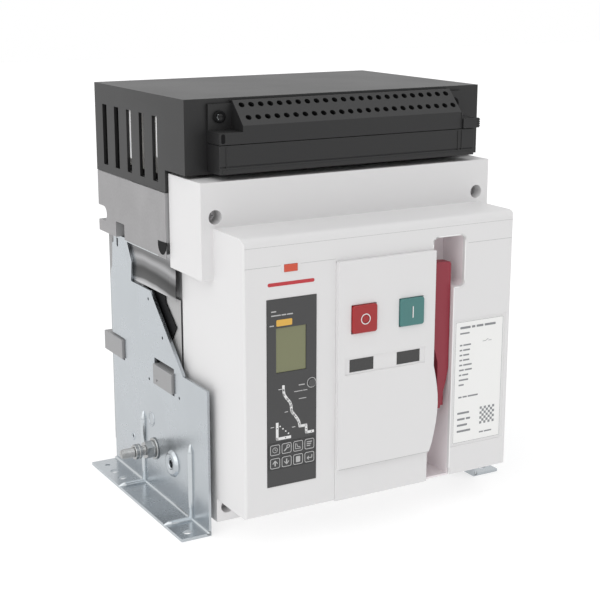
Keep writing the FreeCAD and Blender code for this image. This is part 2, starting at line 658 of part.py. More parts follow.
def side_bracket(name, side):
    """Bent plate with a foot: stepped outline, diagonal return flange, pressed ribs and foot holes."""
    plate_x = side_span(side, "plate_out - plate_thick", "plate_out")
    corners = [("plate_near", 0), ("plate_near", 140.5), (109.5, 140.5), (181, 208), (228, 208),
               (225.5, 228), (238, 249.7), (270.5, 249.7), (271.5, 240.5), (275, 239), (277.5, 214),
               (281.5, 208.5), ("plate_far", 200), ("plate_far", 0)]
    plate = slab(f"{name}_plate", [(deep(depth), z) for depth, z in corners], plate_x)
    flange = slab(f"{name}_return", [
        (deep(109.5), 140.5), (deep(181), 208), (deep(182.5), 206.2), (deep(111), 138.7)],
        side_span(side, "return_in", "plate_out"))
    foot = box(f"{name}_foot", side_span(side, "plate_out - plate_thick", "foot_out"),
               behind("plate_near", "plate_far"), (0, "foot_thick"))
    bush = rod(f"{name}_bush", "x", 10, side_span(side, "plate_out - 1", "plate_out + 2"),
               deep("bush_depth"), "bush_z")
    solids = [plate, flange, foot, bush]
    for i, depth in enumerate((94.5, 205.5)):
        solids.append(rod(f"{name}_rib_{i}", "z", "rib_radius", f"{side} * plate_out", deep(depth),
                          ("foot_thick / 2", "rib_high")))
        solids.append(rod(f"{name}_foot_rib_{i}", "x", "rib_radius", side_span(side, "plate_out - 1", 175),
                          deep(depth), "foot_thick"))
    through = side_span(side, "plate_out - 9", "plate_out + 4")
    tools = [rod(f"{name}_hole_{i}", "x", radius, through, deep(depth), z)
             for i, (depth, z, radius) in enumerate(plate_holes())]
    wide = side_span(side, "plate_out - 4", "plate_out + 1")
    tools += [box(f"{name}_lug_window_0", wide, behind("rear_lug_near - 1.5", 290), (119.5, 142.5)),
              box(f"{name}_lug_window_1", wide, behind("front_lug_near - 1.5", "front_lug_far + 1.5"),
                  (115.5, 142.5)),
              box(f"{name}_key_slot", wide, behind(259.5, 263.5), (239, 246)),
              rod(f"{name}_key_round", "x", 2, wide, deep(261.5), 239)]
    foot_x = f"{side} * foot_bolt_x"
    foot_holes = [(depth, "foot_hole") for depth in ("bolt_front", "bolt_rear", 226)] + [(267.2, 2.5)]
    for i, (depth, radius) in enumerate(foot_holes):
        tools.append(rod(f"{name}_foot_hole_{i}", "z", radius, foot_x, deep(depth), (-5, 10)))
    tools.append(box(f"{name}_below", side_span(side, 140, 190), behind(50, 290), (-8, 0)))
    if side < 0:
        tools.append(rod(f"{name}_stud_way", "x", "shank_radius", side_span(side, 140, 160),
                         deep("stud_depth"), "stud_z"))
    part(name, cut(name, fuse(f"{name}_solid", solids), tools))


def bracket_screws():
    """Drive screws sunk in the lugs that carry the side plates."""
    screws = []
    for side in (-1, 1):
        for i, (depth, z) in enumerate(PLATE_SCREWS):
            screws.append(rod(f"plate_screw_{side}_{i}", "x", 1.5, side_span(side, 147, "lug_out - 2.5"),
                              deep(depth), z))
    part("bracket_screws", group("bracket_screws", screws))


def earthing_stud():
    """Stud with its head behind the left plate, then washer, lock washer, nut and a sleeve nut."""
    at = dict(y=deep("stud_depth"), z="stud_z")
    left = lambda near, far: side_span(-1, near, far)
    head = nut("stud_head", 15, left(145, 150.4), **at)
    shank = rod("stud_shank", "x", "shank_radius", left(150.3, "stud_tip - thread_length + 1"), **at)
    thread = rod("stud_thread", "x", "stud_radius", left("stud_tip - thread_length", "stud_tip"), **at)
    part("earth_stud", fuse("earth_stud", [head, shank, thread]))
    rings = [rod("washer_disc", "x", 11, left("plate_out", "plate_out + 2"), **at),
             rod("lock_disc", "x", 8.6, left("plate_out + 2", "plate_out + 4.4"), **at),
             nut("stud_nut", 16, left("plate_out + 4.4", "plate_out + 12.4"), **at),
             rod("outer_disc", "x", 9.6, left("plate_out + 14", "plate_out + 15.8"), **at)]
    pieces = []
    for i, ring in enumerate(rings):
        bore = rod(f"earth_bore_{i}", "x", "shank_radius", left(150, 200), **at)
        pieces.append(cut(f"earth_ring_{i}", ring, [bore]))
    part("earth_hardware", group("earth_hardware", pieces))


# ---------------------------------------------------------------- current path

def bar_holes(name, x, level):
    return [rod(f"{name}_hole_{side}", "z", "terminal_hole", f"{x} + ({side}) * terminal_hole_x",
                deep("terminal_hole_depth"), about(level, 20)) for side in (-1, 1)]


def bar_pad(name, x, level):
    """Raised contact pad on the outer end of a bar."""
    return box(f"{name}_pad", about(x, "bar_half"), behind("terminal_pad_from", "terminal_end"),
               (level, f"{level} + bar_thick / 2 + terminal_pad"))


def terminals():
    for pole, x in POLES.items():
        bar = box(f"upper_bar_{pole}", about(x, "bar_half"), behind(254, "terminal_end"),
                  about("upper_z", "bar_thick / 2"))
        seat = box(f"upper_seat_{pole}", about(x, 18), behind(249.6, 256), ("upper_z - 16", "upper_z + 7.5"))
        horn = box(f"arc_horn_{pole}", about(x, 4), behind(252, 256), ("upper_z + 5", "upper_z + 70"))
        name = f"upper_terminal_{pole}"
        part(name, cut(name, fuse(f"{name}_solid", [bar, seat, horn, bar_pad(name, x, "upper_z")]),
                       bar_holes(name, x, "upper_z")))
        name = f"lower_terminal_{pole}"
        bar = box(f"lower_bar_{pole}", about(x, "bar_half"), behind(236.5, "terminal_end"),
                  about("lower_z", "bar_thick / 2"))
        riser = box(f"lower_riser_{pole}", about(x, "bar_half"), behind(236.5, 246),
                    ("lower_z - bar_thick / 2", "carrier_z + 12"))
        part(name, cut(name, fuse(f"{name}_solid", [bar, riser, bar_pad(name, x, "lower_z")]),
                       bar_holes(name, x, "lower_z")))
    rings = []
    for pole, x in POLES.items():
        block = box(f"core_{pole}", about(x, 36), behind(252, 268), about("lower_z", 26))
        way = box(f"core_way_{pole}", about(x, "bar_half + 0.5"), behind(250, 270),
                  about("lower_z", "bar_thick / 2 + 1"))
        rings.append(cut(f"current_ring_{pole}", block, [way]))
    part("current_transformers", group("current_transformers", rings))


def moving_contacts():
    """Contact bars on their carrier pin, with a hub, six fingers and a hardened tip."""
    for pole, x in POLES.items():
        hub = rod(f"contact_hub_{pole}", "x", 12, about(x, 22), deep("carrier_depth"), "carrier_z")
        bar = box(f"contact_bar_{pole}", about(x, 20), behind("carrier_depth - 10", "carrier_depth + 4"),
                  ("carrier_z", "upper_z + 4"))
        tip = box(f"contact_tip_{pole}", about(x, 16), behind("carrier_depth + 3", "carrier_depth + 10"),
                  ("upper_z - 12", "upper_z + 4"))
        tools = [rod(f"contact_eye_{pole}", "x", "carrier_pin_radius", about(x, 30), deep("carrier_depth"),
                     "carrier_z")]
        tools += [box(f"finger_gap_{pole}_{i}", about(f"{x} + {offset}", 0.6),
                      behind("carrier_depth - 4", "carrier_depth + 11"), ("carrier_z + 16", "upper_z + 6"))
                  for i, offset in enumerate((-12, -6, 0, 6, 12))]
        name = f"moving_contact_{pole}"
        part(name, cut(name, fuse(f"{name}_solid", [hub, bar, tip]), tools))
    part("carrier_pin", rod("carrier_pin", "x", "carrier_pin_radius - 0.05", about(0, 139),
                            deep("carrier_depth"), "carrier_z"))


def main_shaft():
    solids = [rod("shaft_rod", "x", "shaft_radius", about(0, 138), deep("shaft_depth"), "shaft_z")]
    links = []
    for pole, x in POLES.items():
        pivot = (deep("shaft_depth"), "shaft_z + crank")
        link_x = (f"{x} + 5", f"{x} + 11")
        solids.append(box(f"crank_{pole}", about(x, 4), about(deep("shaft_depth"), 6),
                          ("shaft_z", "shaft_z + crank + 6")))
        solids.append(rod(f"crank_pin_{pole}", "x", "crank_pin", (f"{x} - 4", f"{x} + 11.5"), *pivot))
        eye = rod(f"link_eye_{pole}", "x", 8, link_x, *pivot)
        arm = box(f"link_arm_{pole}", link_x, behind("shaft_depth", "carrier_depth - 13"),
                  about("shaft_z + crank", 5))
        bore = rod(f"link_bore_{pole}", "x", "crank_pin + 0.05", (f"{x} + 4", f"{x} + 12"), *pivot)
        links.append(cut(f"drive_link_{pole}", fuse(f"link_solid_{pole}", [eye, arm]), [bore]))
    part("main_shaft", fuse("main_shaft", solids))
    part("drive_links", group("drive_links", links))


# ---------------------------------------------------------------- spring mechanism

def mechanism_plates():
    shafts = (("half_shaft_radius", "half_shaft_depth", "trip_shaft_z"),
              ("half_shaft_radius", "half_shaft_depth", "close_shaft_z"),
              ("charge_radius", "charge_depth", "charge_z"), ("shaft_radius", "shaft_depth", "shaft_z"))
    for word, side in (("left", -1), ("right", 1)):
        name = f"mechanism_plate_{word}"
        plate = box(f"{name}_sheet", side_span(side, "mech_half", "mech_half + mech_thick"),
                    behind(16, 122), (44, 240))
        x = side_span(side, "mech_half - 2", "mech_half + mech_thick + 2")
        bores = [rod(f"{name}_bore_{i}", "x", f"{radius} + 0.05", x, deep(depth), z)
                 for i, (radius, depth, z) in enumerate(shafts)]
        window = box(f"{name}_window", x, behind(40, 80), (60, 110))
        part(name, cut(name, plate, bores + [window]))


def half_shafts():
    """The shafts that the buttons turn to trip and to close."""
    levers = (("trip_shaft", "stop_x", "trip_shaft_z", "trip_shaft_z", 212),
              ("close_shaft", "start_x", "close_shaft_z", 201, "close_shaft_z"))
    for name, x, z, low, high in levers:
        solids = [rod(f"{name}_rod", "x", "half_shaft_radius", about(0, "mech_half + mech_thick"),
                      deep("half_shaft_depth"), z),
                  box(f"{name}_lever", about(x, 5), behind(30.5, 33.5), (low, high))]
        flat = box(f"{name}_flat", (-5, 5), behind(34.5, 40), about(z, 6))
        part(name, cut(name, fuse(f"{name}_solid", solids), [flat]))


def button_bracket():
    plate = box("button_bridge", about(0, "mech_half"), behind(19, 21), (190, 236))
    ways = [rod(f"stem_way_{i}", "y", 4.4, x, behind(17, 23), "button_z")
            for i, x in enumerate(("stop_x", "start_x"))]
    part("button_bracket", cut("button_bracket", plate, ways))


def charging_train():
    at = (deep("charge_depth"), "charge_z")
    part("charging_shaft", rod("charging_shaft", "x", "charge_radius", about(0, "mech_half + 12"), *at))
    cam = fuse("cam_solid", [rod("cam_round", "x", 17, (-24, -14), *at),
                             rod("cam_nose", "x", 9, (-24, -14), deep("charge_depth + 14"), "charge_z")])
    part("charging_cam", cut("charging_cam", cam, [rod("cam_bore", "x", "charge_radius", (-30, -10), *at)]))
    disc = rod("ratchet_disc", "x", "ratchet_radius", (28, 35), *at)
    notches = [rod("ratchet_bore", "x", "charge_radius", (20, 40), *at)]
    for i in range(DIMENSIONS["ratchet_teeth"]):
        angle = 2 * math.pi * i / DIMENSIONS["ratchet_teeth"]
        notches.append(rod(f"tooth_gap_{i}", "x", 2.4, (27, 36),
                           deep(f"charge_depth + ratchet_radius * {math.cos(angle):.4f}"),
                           f"charge_z + ratchet_radius * {math.sin(angle):.4f}"))
    part("ratchet_wheel", cut("ratchet_wheel", disc, notches))


def state_flags():
    for name, x in (("contact_state_flag", "stop_lens_x"), ("spring_state_flag", "start_lens_x")):
        part(name, box(name, about(x, 14.5), behind(5.8, 7.3), (156.9, 183.4)))


def release_coils():
    """Closing, shunt and undervoltage releases, each a coil in its frame with a sealed plunger."""
    coils = []
    for i, x in enumerate((-28, 0, 28)):
        frame = box(f"coil_frame_{i}", about(x, 12), behind(70, 112), (205, 236))
        nose = rod(f"coil_nose_{i}", "y", 4, x, behind(58, 72), 220)
        coils.append(fuse(f"release_coil_{i}", [frame, nose]))
    part("release_coils", group("release_coils", coils))


# ---------------------------------------------------------------- whole breaker

def build():
    fill_sheet()
    front_cover()
    cover_screws()
    button_panel()
    window_lenses()
    push_button("stop_button", "stop_x", ring_mark)
    push_button("start_button", "start_x", bar_mark)
    return_spring("stop_spring", "stop_x")
    return_spring("start_spring", "start_x")
    handle_well()
    handle_pin()
    charging_handle()
    trip_unit()
    keypad_membrane()
    lamp_and_label()
    terminal_block()
    arc_cover()
    arc_chutes()
    housing_rear()
    housing_front()
    side_bracket("bracket_left", -1)
    side_bracket("bracket_right", 1)
    bracket_screws()
    earthing_stud()
    terminals()
    moving_contacts()
    main_shaft()
    mechanism_plates()
    half_shafts()
    button_bracket()
    charging_train()
    closing_spring()
    state_flags()
    release_coils()
    doc.recompute()


def write_parts():
    for item in doc.Objects:
        if {"Invalid", "Error"} & set(item.State):
            raise RuntimeError(f"{item.Name} failed: {item.State}")
    for item in PARTS:
        if item.Shape.isNull() or not item.Shape.isValid() or item.Shape.Volume <= 0:
            raise RuntimeError(f"{item.Label} has no valid shape")
        item.Shape.exportStep(os.path.join("parts", item.Label + ".step"))
        print(f"{item.Label:24s} {len(item.Shape.Solids):3d} solids {item.Shape.Volume / 1000:10.2f} cm3")


build()
write_parts()
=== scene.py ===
"""Looks of a fixed three-pole air circuit breaker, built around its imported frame."""
import json
import math

import bmesh
import bpy
from bpy.props import FloatProperty, FloatVectorProperty, IntProperty, PointerProperty
from mathutils import Matrix, Vector


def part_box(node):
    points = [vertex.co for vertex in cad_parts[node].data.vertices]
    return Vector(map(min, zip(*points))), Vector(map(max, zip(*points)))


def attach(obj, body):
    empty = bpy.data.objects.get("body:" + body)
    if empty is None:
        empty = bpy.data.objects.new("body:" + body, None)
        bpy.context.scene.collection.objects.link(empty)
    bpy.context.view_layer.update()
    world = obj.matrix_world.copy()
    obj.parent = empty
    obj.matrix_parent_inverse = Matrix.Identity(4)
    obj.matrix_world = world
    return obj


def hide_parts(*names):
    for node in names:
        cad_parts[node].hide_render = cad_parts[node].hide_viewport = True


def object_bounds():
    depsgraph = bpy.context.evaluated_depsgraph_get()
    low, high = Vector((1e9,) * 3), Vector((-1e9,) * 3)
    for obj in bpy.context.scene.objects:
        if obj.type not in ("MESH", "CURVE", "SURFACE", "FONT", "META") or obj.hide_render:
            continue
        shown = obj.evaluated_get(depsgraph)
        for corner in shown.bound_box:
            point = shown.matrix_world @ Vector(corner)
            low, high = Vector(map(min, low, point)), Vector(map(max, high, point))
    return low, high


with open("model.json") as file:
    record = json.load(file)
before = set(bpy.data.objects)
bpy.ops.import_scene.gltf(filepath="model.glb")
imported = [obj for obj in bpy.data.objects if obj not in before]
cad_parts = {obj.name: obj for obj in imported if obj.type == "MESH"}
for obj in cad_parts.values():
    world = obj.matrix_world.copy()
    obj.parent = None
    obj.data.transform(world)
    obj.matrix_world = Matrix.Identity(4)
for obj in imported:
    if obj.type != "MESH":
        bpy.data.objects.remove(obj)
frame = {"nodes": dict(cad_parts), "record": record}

bl_info = {
    "name": "Air Circuit Breaker Looks",
    "version": (1, 0, 0),
    "blender": (4, 5, 0),
    "location": "View3D > Sidebar > Breaker",
    "description": "Builds the visible pieces, finishes and studio of an air circuit breaker",
    "category": "Object",
}

CAD_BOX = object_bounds()
MM = 0.001
FACE_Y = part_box("front_cover")[0].y
BODY_OF = {node: body for body, nodes in frame["record"]["behaviour"]["bodies"].items() for node in nodes}
SLOT_OF = {row["node"]: row["material_slot"] for row in frame["record"]["subparts"]}

SHARP_ANGLE = math.radians(32.0)    # edges sharper than this are rounded
FLAT_ANGLE = math.radians(0.5)      # triangles closer than this make one flat face
MERGE = 0.000002                    # metres between points of a CAD mesh that are one

# Places and sizes in millimetres. Depth is behind the front face, height above the floor.
BRACKET_FACE = 153.0          # outer face of a side bracket, from the middle
BEND = 3.0                    # where a bracket's wall turns into its foot
RIB_DEPTHS = (94.5, 205.5)    # the two pressed ribs
RIB_TOP, RIB_OUT, RIB_LIFT = 71.0, 175.0, 3.25
BUSH_PLACE = (136.2, 45.2)    # depth and height of the dished bush
BUSH_PROFILE = ((-0.3, 13.6), (0.6, 12.9), (2.4, 11.8), (3.3, 10.4), (3.4, 8.8), (2.6, 6.4), (2.1, 4.6),
                (-1.5, 4.2))
PRESSED_RINGS = ((185.9, 75.8, 6.6), (233.9, 42.9, 3.4))
RING_PROFILE = ((-0.2, 1.3), (0.5, 0.7), (0.75, 0.0), (0.5, -0.7), (-0.2, -1.3))
STUD_RADIUS, NUT_FLATS, NUT_LENGTH = 5.0, 16.0, 8.0
THREAD_DEPTH = 0.61           # of the pitch
JOINT_HEIGHTS = (262.8, 280.4)
COVER_HALF = 143.0
KEY_PITCH, KEY_ROWS, FIRST_KEY = 11.7, (96.5, 84.0), -115.0
CAMERA_PLACE = Vector((-0.6476, FACE_Y - 0.9793, 0.5126))
CAMERA_AZIMUTH, CAMERA_ELEVATION = math.radians(-29.47), math.radians(13.88)
CAMERA_SHIFT = (0.0087, -0.0070)
DIFFUSE_DIMMING = 0.48        # how much less of the world's light falls on surfaces than is seen
FLOOR_GREY, FLOOR_GLOW = 0.46, 0.61


# ---------------------------------------------------------------- settings

class BreakerSizes(bpy.types.PropertyGroup):
    """Sizes of the visible edges, threads and prints."""
    moulded_edge: FloatProperty(name="Moulded edge", description="Radius on the edges of moulded covers",
                                default=0.9 * MM, unit="LENGTH", precision=5)
    sheet_edge: FloatProperty(name="Sheet edge", description="Radius on the edges of pressed sheet",
                              default=0.35 * MM, unit="LENGTH", precision=5)
    metal_edge: FloatProperty(name="Metal edge", description="Chamfer on bars and turned pieces",
                              default=0.6 * MM, unit="LENGTH", precision=5)
    print_height: FloatProperty(name="Print height", description="Thickness of a printed mark",
                                default=0.06 * MM, unit="LENGTH", precision=6)
    thread_pitch: FloatProperty(name="Thread pitch", description="Pitch of the earthing stud's thread",
                                default=1.0 * MM, unit="LENGTH", precision=5)
    thread_steps: IntProperty(name="Thread steps", description="Steps in one turn of the thread",
                              default=24, min=8)
    lens: FloatProperty(name="Lens", description="Focal length of the camera", default=80.0)


def colour(name, text, value):
    return FloatVectorProperty(name=name, description=text, default=value, size=3, subtype="COLOR",
                               min=0.0, max=1.0)


class BreakerColours(bpy.types.PropertyGroup):
    """Base colours of the finishes."""
    cover_white: colour("Cover white", "Front cover and operating panel", (0.74, 0.735, 0.738))
    cover_black: colour("Cover black", "Arc cover and terminal block", (0.011, 0.011, 0.0115))
    housing_grey: colour("Housing grey", "Moulded pole housing", (0.31, 0.31, 0.315))
    zinc: colour("Zinc", "Passivated zinc plate", (0.46, 0.49, 0.515))
    copper: colour("Copper", "Terminal bars", (0.78, 0.36, 0.22))
    handle_red: colour("Handle red", "Charging handle", (0.27, 0.022, 0.040))
    stop_red: colour("Stop red", "Stop button", (0.34, 0.014, 0.016))
    start_green: colour("Start green", "Start button", (0.058, 0.190, 0.182))
    panel_dark: colour("Panel dark", "Front foil of the trip unit", (0.046, 0.046, 0.047))
    lamp: colour("Lamp", "Status lamp lens", (0.60, 0.060, 0.018))
    screen: colour("Screen", "Liquid crystal", (0.165, 0.172, 0.078))


# ---------------------------------------------------------------- node helpers

class Tree:
    """Short calls for adding and linking shader nodes."""

    def __init__(self, tree):
        self.tree = tree

    def add(self, kind, **values):
        node = self.tree.nodes.new(kind)
        for key, value in values.items():
            name = key.replace("_", " ")
            if key == "attribute_name":
                node.attribute_name = value
            elif isinstance(value, bpy.types.NodeSocket):
                self.tree.links.new(value, node.inputs[name])
            else:
                node.inputs[name].default_value = value
        return node

    def link(self, source, target):
        self.tree.links.new(source, target)

    def math(self, operation, a, b=0.0):
        node = self.tree.nodes.new("ShaderNodeMath")
        node.operation = operation
        for socket, value in zip(node.inputs, (a, b)):
            if isinstance(value, bpy.types.NodeSocket):
                self.tree.links.new(value, socket)
            else:
                socket.default_value = value
        return node.outputs[0]

    def mix(self, factor, a, b):
        """Colour mix of a and b, each a socket or an RGB triple."""
        node = self.tree.nodes.new("ShaderNodeMix")
        node.data_type = "RGBA"
        for socket, value in zip((node.inputs[0], node.inputs[6], node.inputs[7]), (factor, a, b)):
            if isinstance(value, bpy.types.NodeSocket):
                self.tree.links.new(value, socket)
            else:
                socket.default_value = (*value, 1.0) if hasattr(value, "__len__") else value
        return node.outputs[2]


def group_tree(name, inputs, outputs):
    """New shader node group with named sockets: its Tree, its inputs and its float outputs."""
    group = bpy.data.node_groups.new(name, "ShaderNodeTree")
    for label, kind, value in inputs:
        socket = group.interface.new_socket(label, in_out="INPUT", socket_type=kind)
        if value is not None:
            socket.default_value = value
    for label in outputs:
        group.interface.new_socket(label, in_out="OUTPUT", socket_type="NodeSocketFloat")
    return Tree(group), group.nodes.new("NodeGroupInput").outputs, group.nodes.new("NodeGroupOutput").inputs


def moulded_grain():
    """Fine spark-eroded grain of moulded plastic: a height, and a slow cloudiness."""
    if "moulded_grain" not in bpy.data.node_groups:
        t, source, sink = group_tree("moulded_grain", [
            ("Position", "NodeSocketVector", None), ("Grain", "NodeSocketFloat", 1400.0),
            ("Cloud", "NodeSocketFloat", 9.0)], ("Height", "Cloud"))
        fine = t.add("ShaderNodeTexNoise", Vector=source["Position"], Scale=source["Grain"],
                     Detail=2.0, Roughness=0.6)
        cells = t.add("ShaderNodeTexVoronoi", Vector=source["Position"], Scale=source["Grain"])
        slow = t.add("ShaderNodeTexNoise", Vector=source["Position"], Scale=source["Cloud"],
                     Detail=4.0, Roughness=0.55)
        t.link(t.math("ADD", fine.outputs[0], t.math("MULTIPLY", cells.outputs[0], 0.5)), sink["Height"])
        t.link(slow.outputs[0], sink["Cloud"])
    return bpy.data.node_groups["moulded_grain"]


def edge_wear():
    """Broken-up mask of the rounded edges, from the edge attribute that softened meshes carry."""
    if "edge_wear" not in bpy.data.node_groups:
        t, source, sink = group_tree("edge_wear", [
            ("Position", "NodeSocketVector", None), ("Patch", "NodeSocketFloat", 60.0),
            ("Amount", "NodeSocketFloat", 0.5)], ("Mask",))
        edge = t.add("ShaderNodeAttribute", attribute_name="edge")
        patch = t.add("ShaderNodeTexNoise", Vector=source["Position"], Scale=source["Patch"],
                      Detail=5.0, Roughness=0.65)
        broken = t.math("SMOOTH_MIN", t.math("MULTIPLY", patch.outputs[0], 1.6), 1.0)
        mask = t.math("MULTIPLY", edge.outputs["Fac"], broken)
        t.link(t.math("MULTIPLY", mask, source["Amount"]), sink["Mask"])
    return bpy.data.node_groups["edge_wear"]


def rolled_sheet():
    """Directional mill lines and cloudy plating of sheet steel: a height, a tone and a gloss change."""
    if "rolled_sheet" not in bpy.data.node_groups:
        t, source, sink = group_tree("rolled_sheet", [
            ("Position", "NodeSocketVector", None), ("Lines", "NodeSocketFloat", 700.0)],
            ("Height", "Tone", "Gloss"))
        stretch = t.add("ShaderNodeMapping", Vector=source["Position"])
        stretch.inputs["Scale"].default_value = (1.0, 1.0, 0.04)
        lines = t.add("ShaderNodeTexNoise", Vector=stretch.outputs[0], Scale=source["Lines"], Detail=3.0)
        cloud = t.add("ShaderNodeTexNoise", Vector=source["Position"], Scale=22.0, Detail=6.0,
                      Roughness=0.6, Distortion=0.6)
        speck = t.add("ShaderNodeTexNoise", Vector=source["Position"], Scale=420.0, Detail=2.0)
        t.link(lines.outputs[0], sink["Height"])
        t.link(t.math("ADD", t.math("MULTIPLY", cloud.outputs[0], 0.7),
                      t.math("MULTIPLY", speck.outputs[0], 0.3)), sink["Tone"])
        t.link(cloud.outputs[0], sink["Gloss"])
    return bpy.data.node_groups["rolled_sheet"]


def shader(name, base, roughness, metallic=0.0, coat=0.0, shine=0.5):
    """New material, its Tree, its Principled BSDF and the Object coordinates."""
    made = bpy.data.materials.new(name)
    made.use_nodes = True
    base = tuple(base)
    made.diffuse_color = (*base, 1.0)
    made.node_tree.nodes.clear()
    t = Tree(made.node_tree)
    out = made.node_tree.nodes.new("ShaderNodeOutputMaterial")
    surface = t.add("ShaderNodeBsdfPrincipled", Base_Color=(*base, 1.0), Roughness=roughness,
                    Metallic=metallic)
    surface.inputs["Coat Weight"].default_value = coat
    surface.inputs["Specular IOR Level"].default_value = shine
    t.link(surface.outputs[0], out.inputs[0])
    place = t.add("ShaderNodeTexCoord").outputs["Object"]
    return made, t, surface, place


def use_group(t, group, **values):
    node = t.tree.nodes.new("ShaderNodeGroup")
    node.node_tree = group
    for key, value in values.items():
        if isinstance(value, bpy.types.NodeSocket):
            t.link(value, node.inputs[key])
        else:
            node.inputs[key].default_value = value
    return node


def scaled(rgb, factor):
    return tuple(min(channel * factor, 1.0) for channel in rgb)


def moulded(name, base, roughness=0.5, grain=1400.0, depth=0.00004, cloud=0.06, wear=0.35, coat=0.0,
            worn=1.25, shine=0.5):
    """Moulded plastic: grain in the normal, cloudy tone and gloss, lighter rubbed edges."""
    made, t, surface, place = shader(name, base, roughness, coat=coat, shine=shine)
    texture = use_group(t, moulded_grain(), Position=place, Grain=grain)
    rubbed = use_group(t, edge_wear(), Position=place, Amount=wear)
    tone = t.mix(texture.outputs["Cloud"], scaled(base, 1.0 - cloud), scaled(base, 1.0 + cloud))
    t.link(t.mix(rubbed.outputs["Mask"], tone, scaled(base, worn)), surface.inputs["Base Color"])
    gloss = t.math("ADD", t.math("MULTIPLY", texture.outputs["Cloud"], 0.12), roughness - 0.06)
    t.link(t.math("SUBTRACT", gloss, t.math("MULTIPLY", rubbed.outputs["Mask"], 0.12)),
           surface.inputs["Roughness"])
    bump = t.add("ShaderNodeBump", Height=texture.outputs["Height"], Distance=depth, Strength=0.6)
    t.link(bump.outputs[0], surface.inputs["Normal"])
    return made


def plated(name, base, roughness=0.36, lines=700.0, depth=0.00003, tone=0.10, wear=0.5):
    """Plated or bare metal: mill lines, cloudy plating and bright rubbed edges."""
    made, t, surface, place = shader(name, base, roughness, metallic=1.0)
    sheet = use_group(t, rolled_sheet(), Position=place, Lines=lines)
    rubbed = use_group(t, edge_wear(), Position=place, Patch=110.0, Amount=wear)
    cloudy = t.mix(sheet.outputs["Tone"], scaled(base, 1.0 - tone), scaled(base, 1.0 + tone))
    t.link(t.mix(rubbed.outputs["Mask"], cloudy, scaled(base, 1.3)), surface.inputs["Base Color"])
    gloss = t.math("ADD", t.math("MULTIPLY", sheet.outputs["Gloss"], 0.22), roughness - 0.11)
    t.link(t.math("SUBTRACT", gloss, t.math("MULTIPLY", rubbed.outputs["Mask"], 0.1)),
           surface.inputs["Roughness"])
    bump = t.add("ShaderNodeBump", Height=sheet.outputs["Height"], Distance=depth, Strength=0.5)
    t.link(bump.outputs[0], surface.inputs["Normal"])
    return made


def fibre_board():
    """Pressed insulating board with short fibres."""
    base = (0.66, 0.65, 0.62)
    made, t, surface, place = shader("insulating_board", base, 0.62)
    stretch = t.add("ShaderNodeMapping", Vector=place)
    stretch.inputs["Scale"].default_value = (1.0, 0.12, 1.0)
    fibres = t.add("ShaderNodeTexNoise", Vector=stretch.outputs[0], Scale=520.0, Detail=4.0)
    t.link(t.mix(fibres.outputs[0], scaled(base, 0.72), scaled(base, 1.22)), surface.inputs["Base Color"])
    bump = t.add("ShaderNodeBump", Height=fibres.outputs[0], Distance=0.00008, Strength=0.6)
    t.link(bump.outputs[0], surface.inputs["Normal"])
    return made


def clear_lens():
    """Smoked window: dark, glossy and a little see-through."""
    made, t, surface, place = shader("smoked_lens", (0.038, 0.038, 0.038), 0.12, coat=0.2)
    surface.inputs["Transmission Weight"].default_value = 0.25
    haze = t.add("ShaderNodeTexNoise", Vector=place, Scale=160.0, Detail=3.0)
    t.link(t.math("ADD", t.math("MULTIPLY", haze.outputs[0], 0.10), 0.08), surface.inputs["Roughness"])
    return made


def shield_sheet_painted_reflection():
    """Side sheet whose colour, set by its height, holds painted reflection and shade bands: bright above,
    darkening towards its lower roll.
    """
    made, t, surface, place = shader("shield_steel", (0.34, 0.34, 0.35), 0.24, metallic=1.0)
    across = t.add("ShaderNodeSeparateXYZ", Vector=place)
    cloud = t.add("ShaderNodeTexNoise", Vector=place, Scale=14.0, Detail=2.0, Roughness=0.4)
    wave = t.math("MULTIPLY", t.math("SUBTRACT", cloud.outputs[0], 0.5), 0.012)
    level = t.math("ADD", across.outputs["Z"], wave)
    ramp = t.add("ShaderNodeValToRGB")
    ramp.color_ramp.interpolation = "EASE"
    # Painted reflection and shade: lighter and darker base colour by height stands in for the dark
    # reflections and shade on the sheet's lower roll.
    painted_reflection_stops = ((0.0, 0.50), (0.05, 0.34), (0.12, 0.045), (0.32, 0.012), (0.46, 0.16), (0.58, 0.34),
             (0.74, 0.12), (1.0, 0.34))
    for index, (where, tone) in enumerate(painted_reflection_stops):
        stop = ramp.color_ramp.elements[index] if index < 2 else ramp.color_ramp.elements.new(where)
        stop.position, stop.color = where, (tone, tone, tone * 1.02, 1.0)
    t.link(t.math("DIVIDE", t.math("SUBTRACT", level, 0.2095), 0.042), ramp.inputs[0])
    t.link(ramp.outputs[0], surface.inputs["Base Color"])
    t.link(t.math("ADD", t.math("MULTIPLY", cloud.outputs[0], 0.2), 0.16), surface.inputs["Roughness"])
    return made


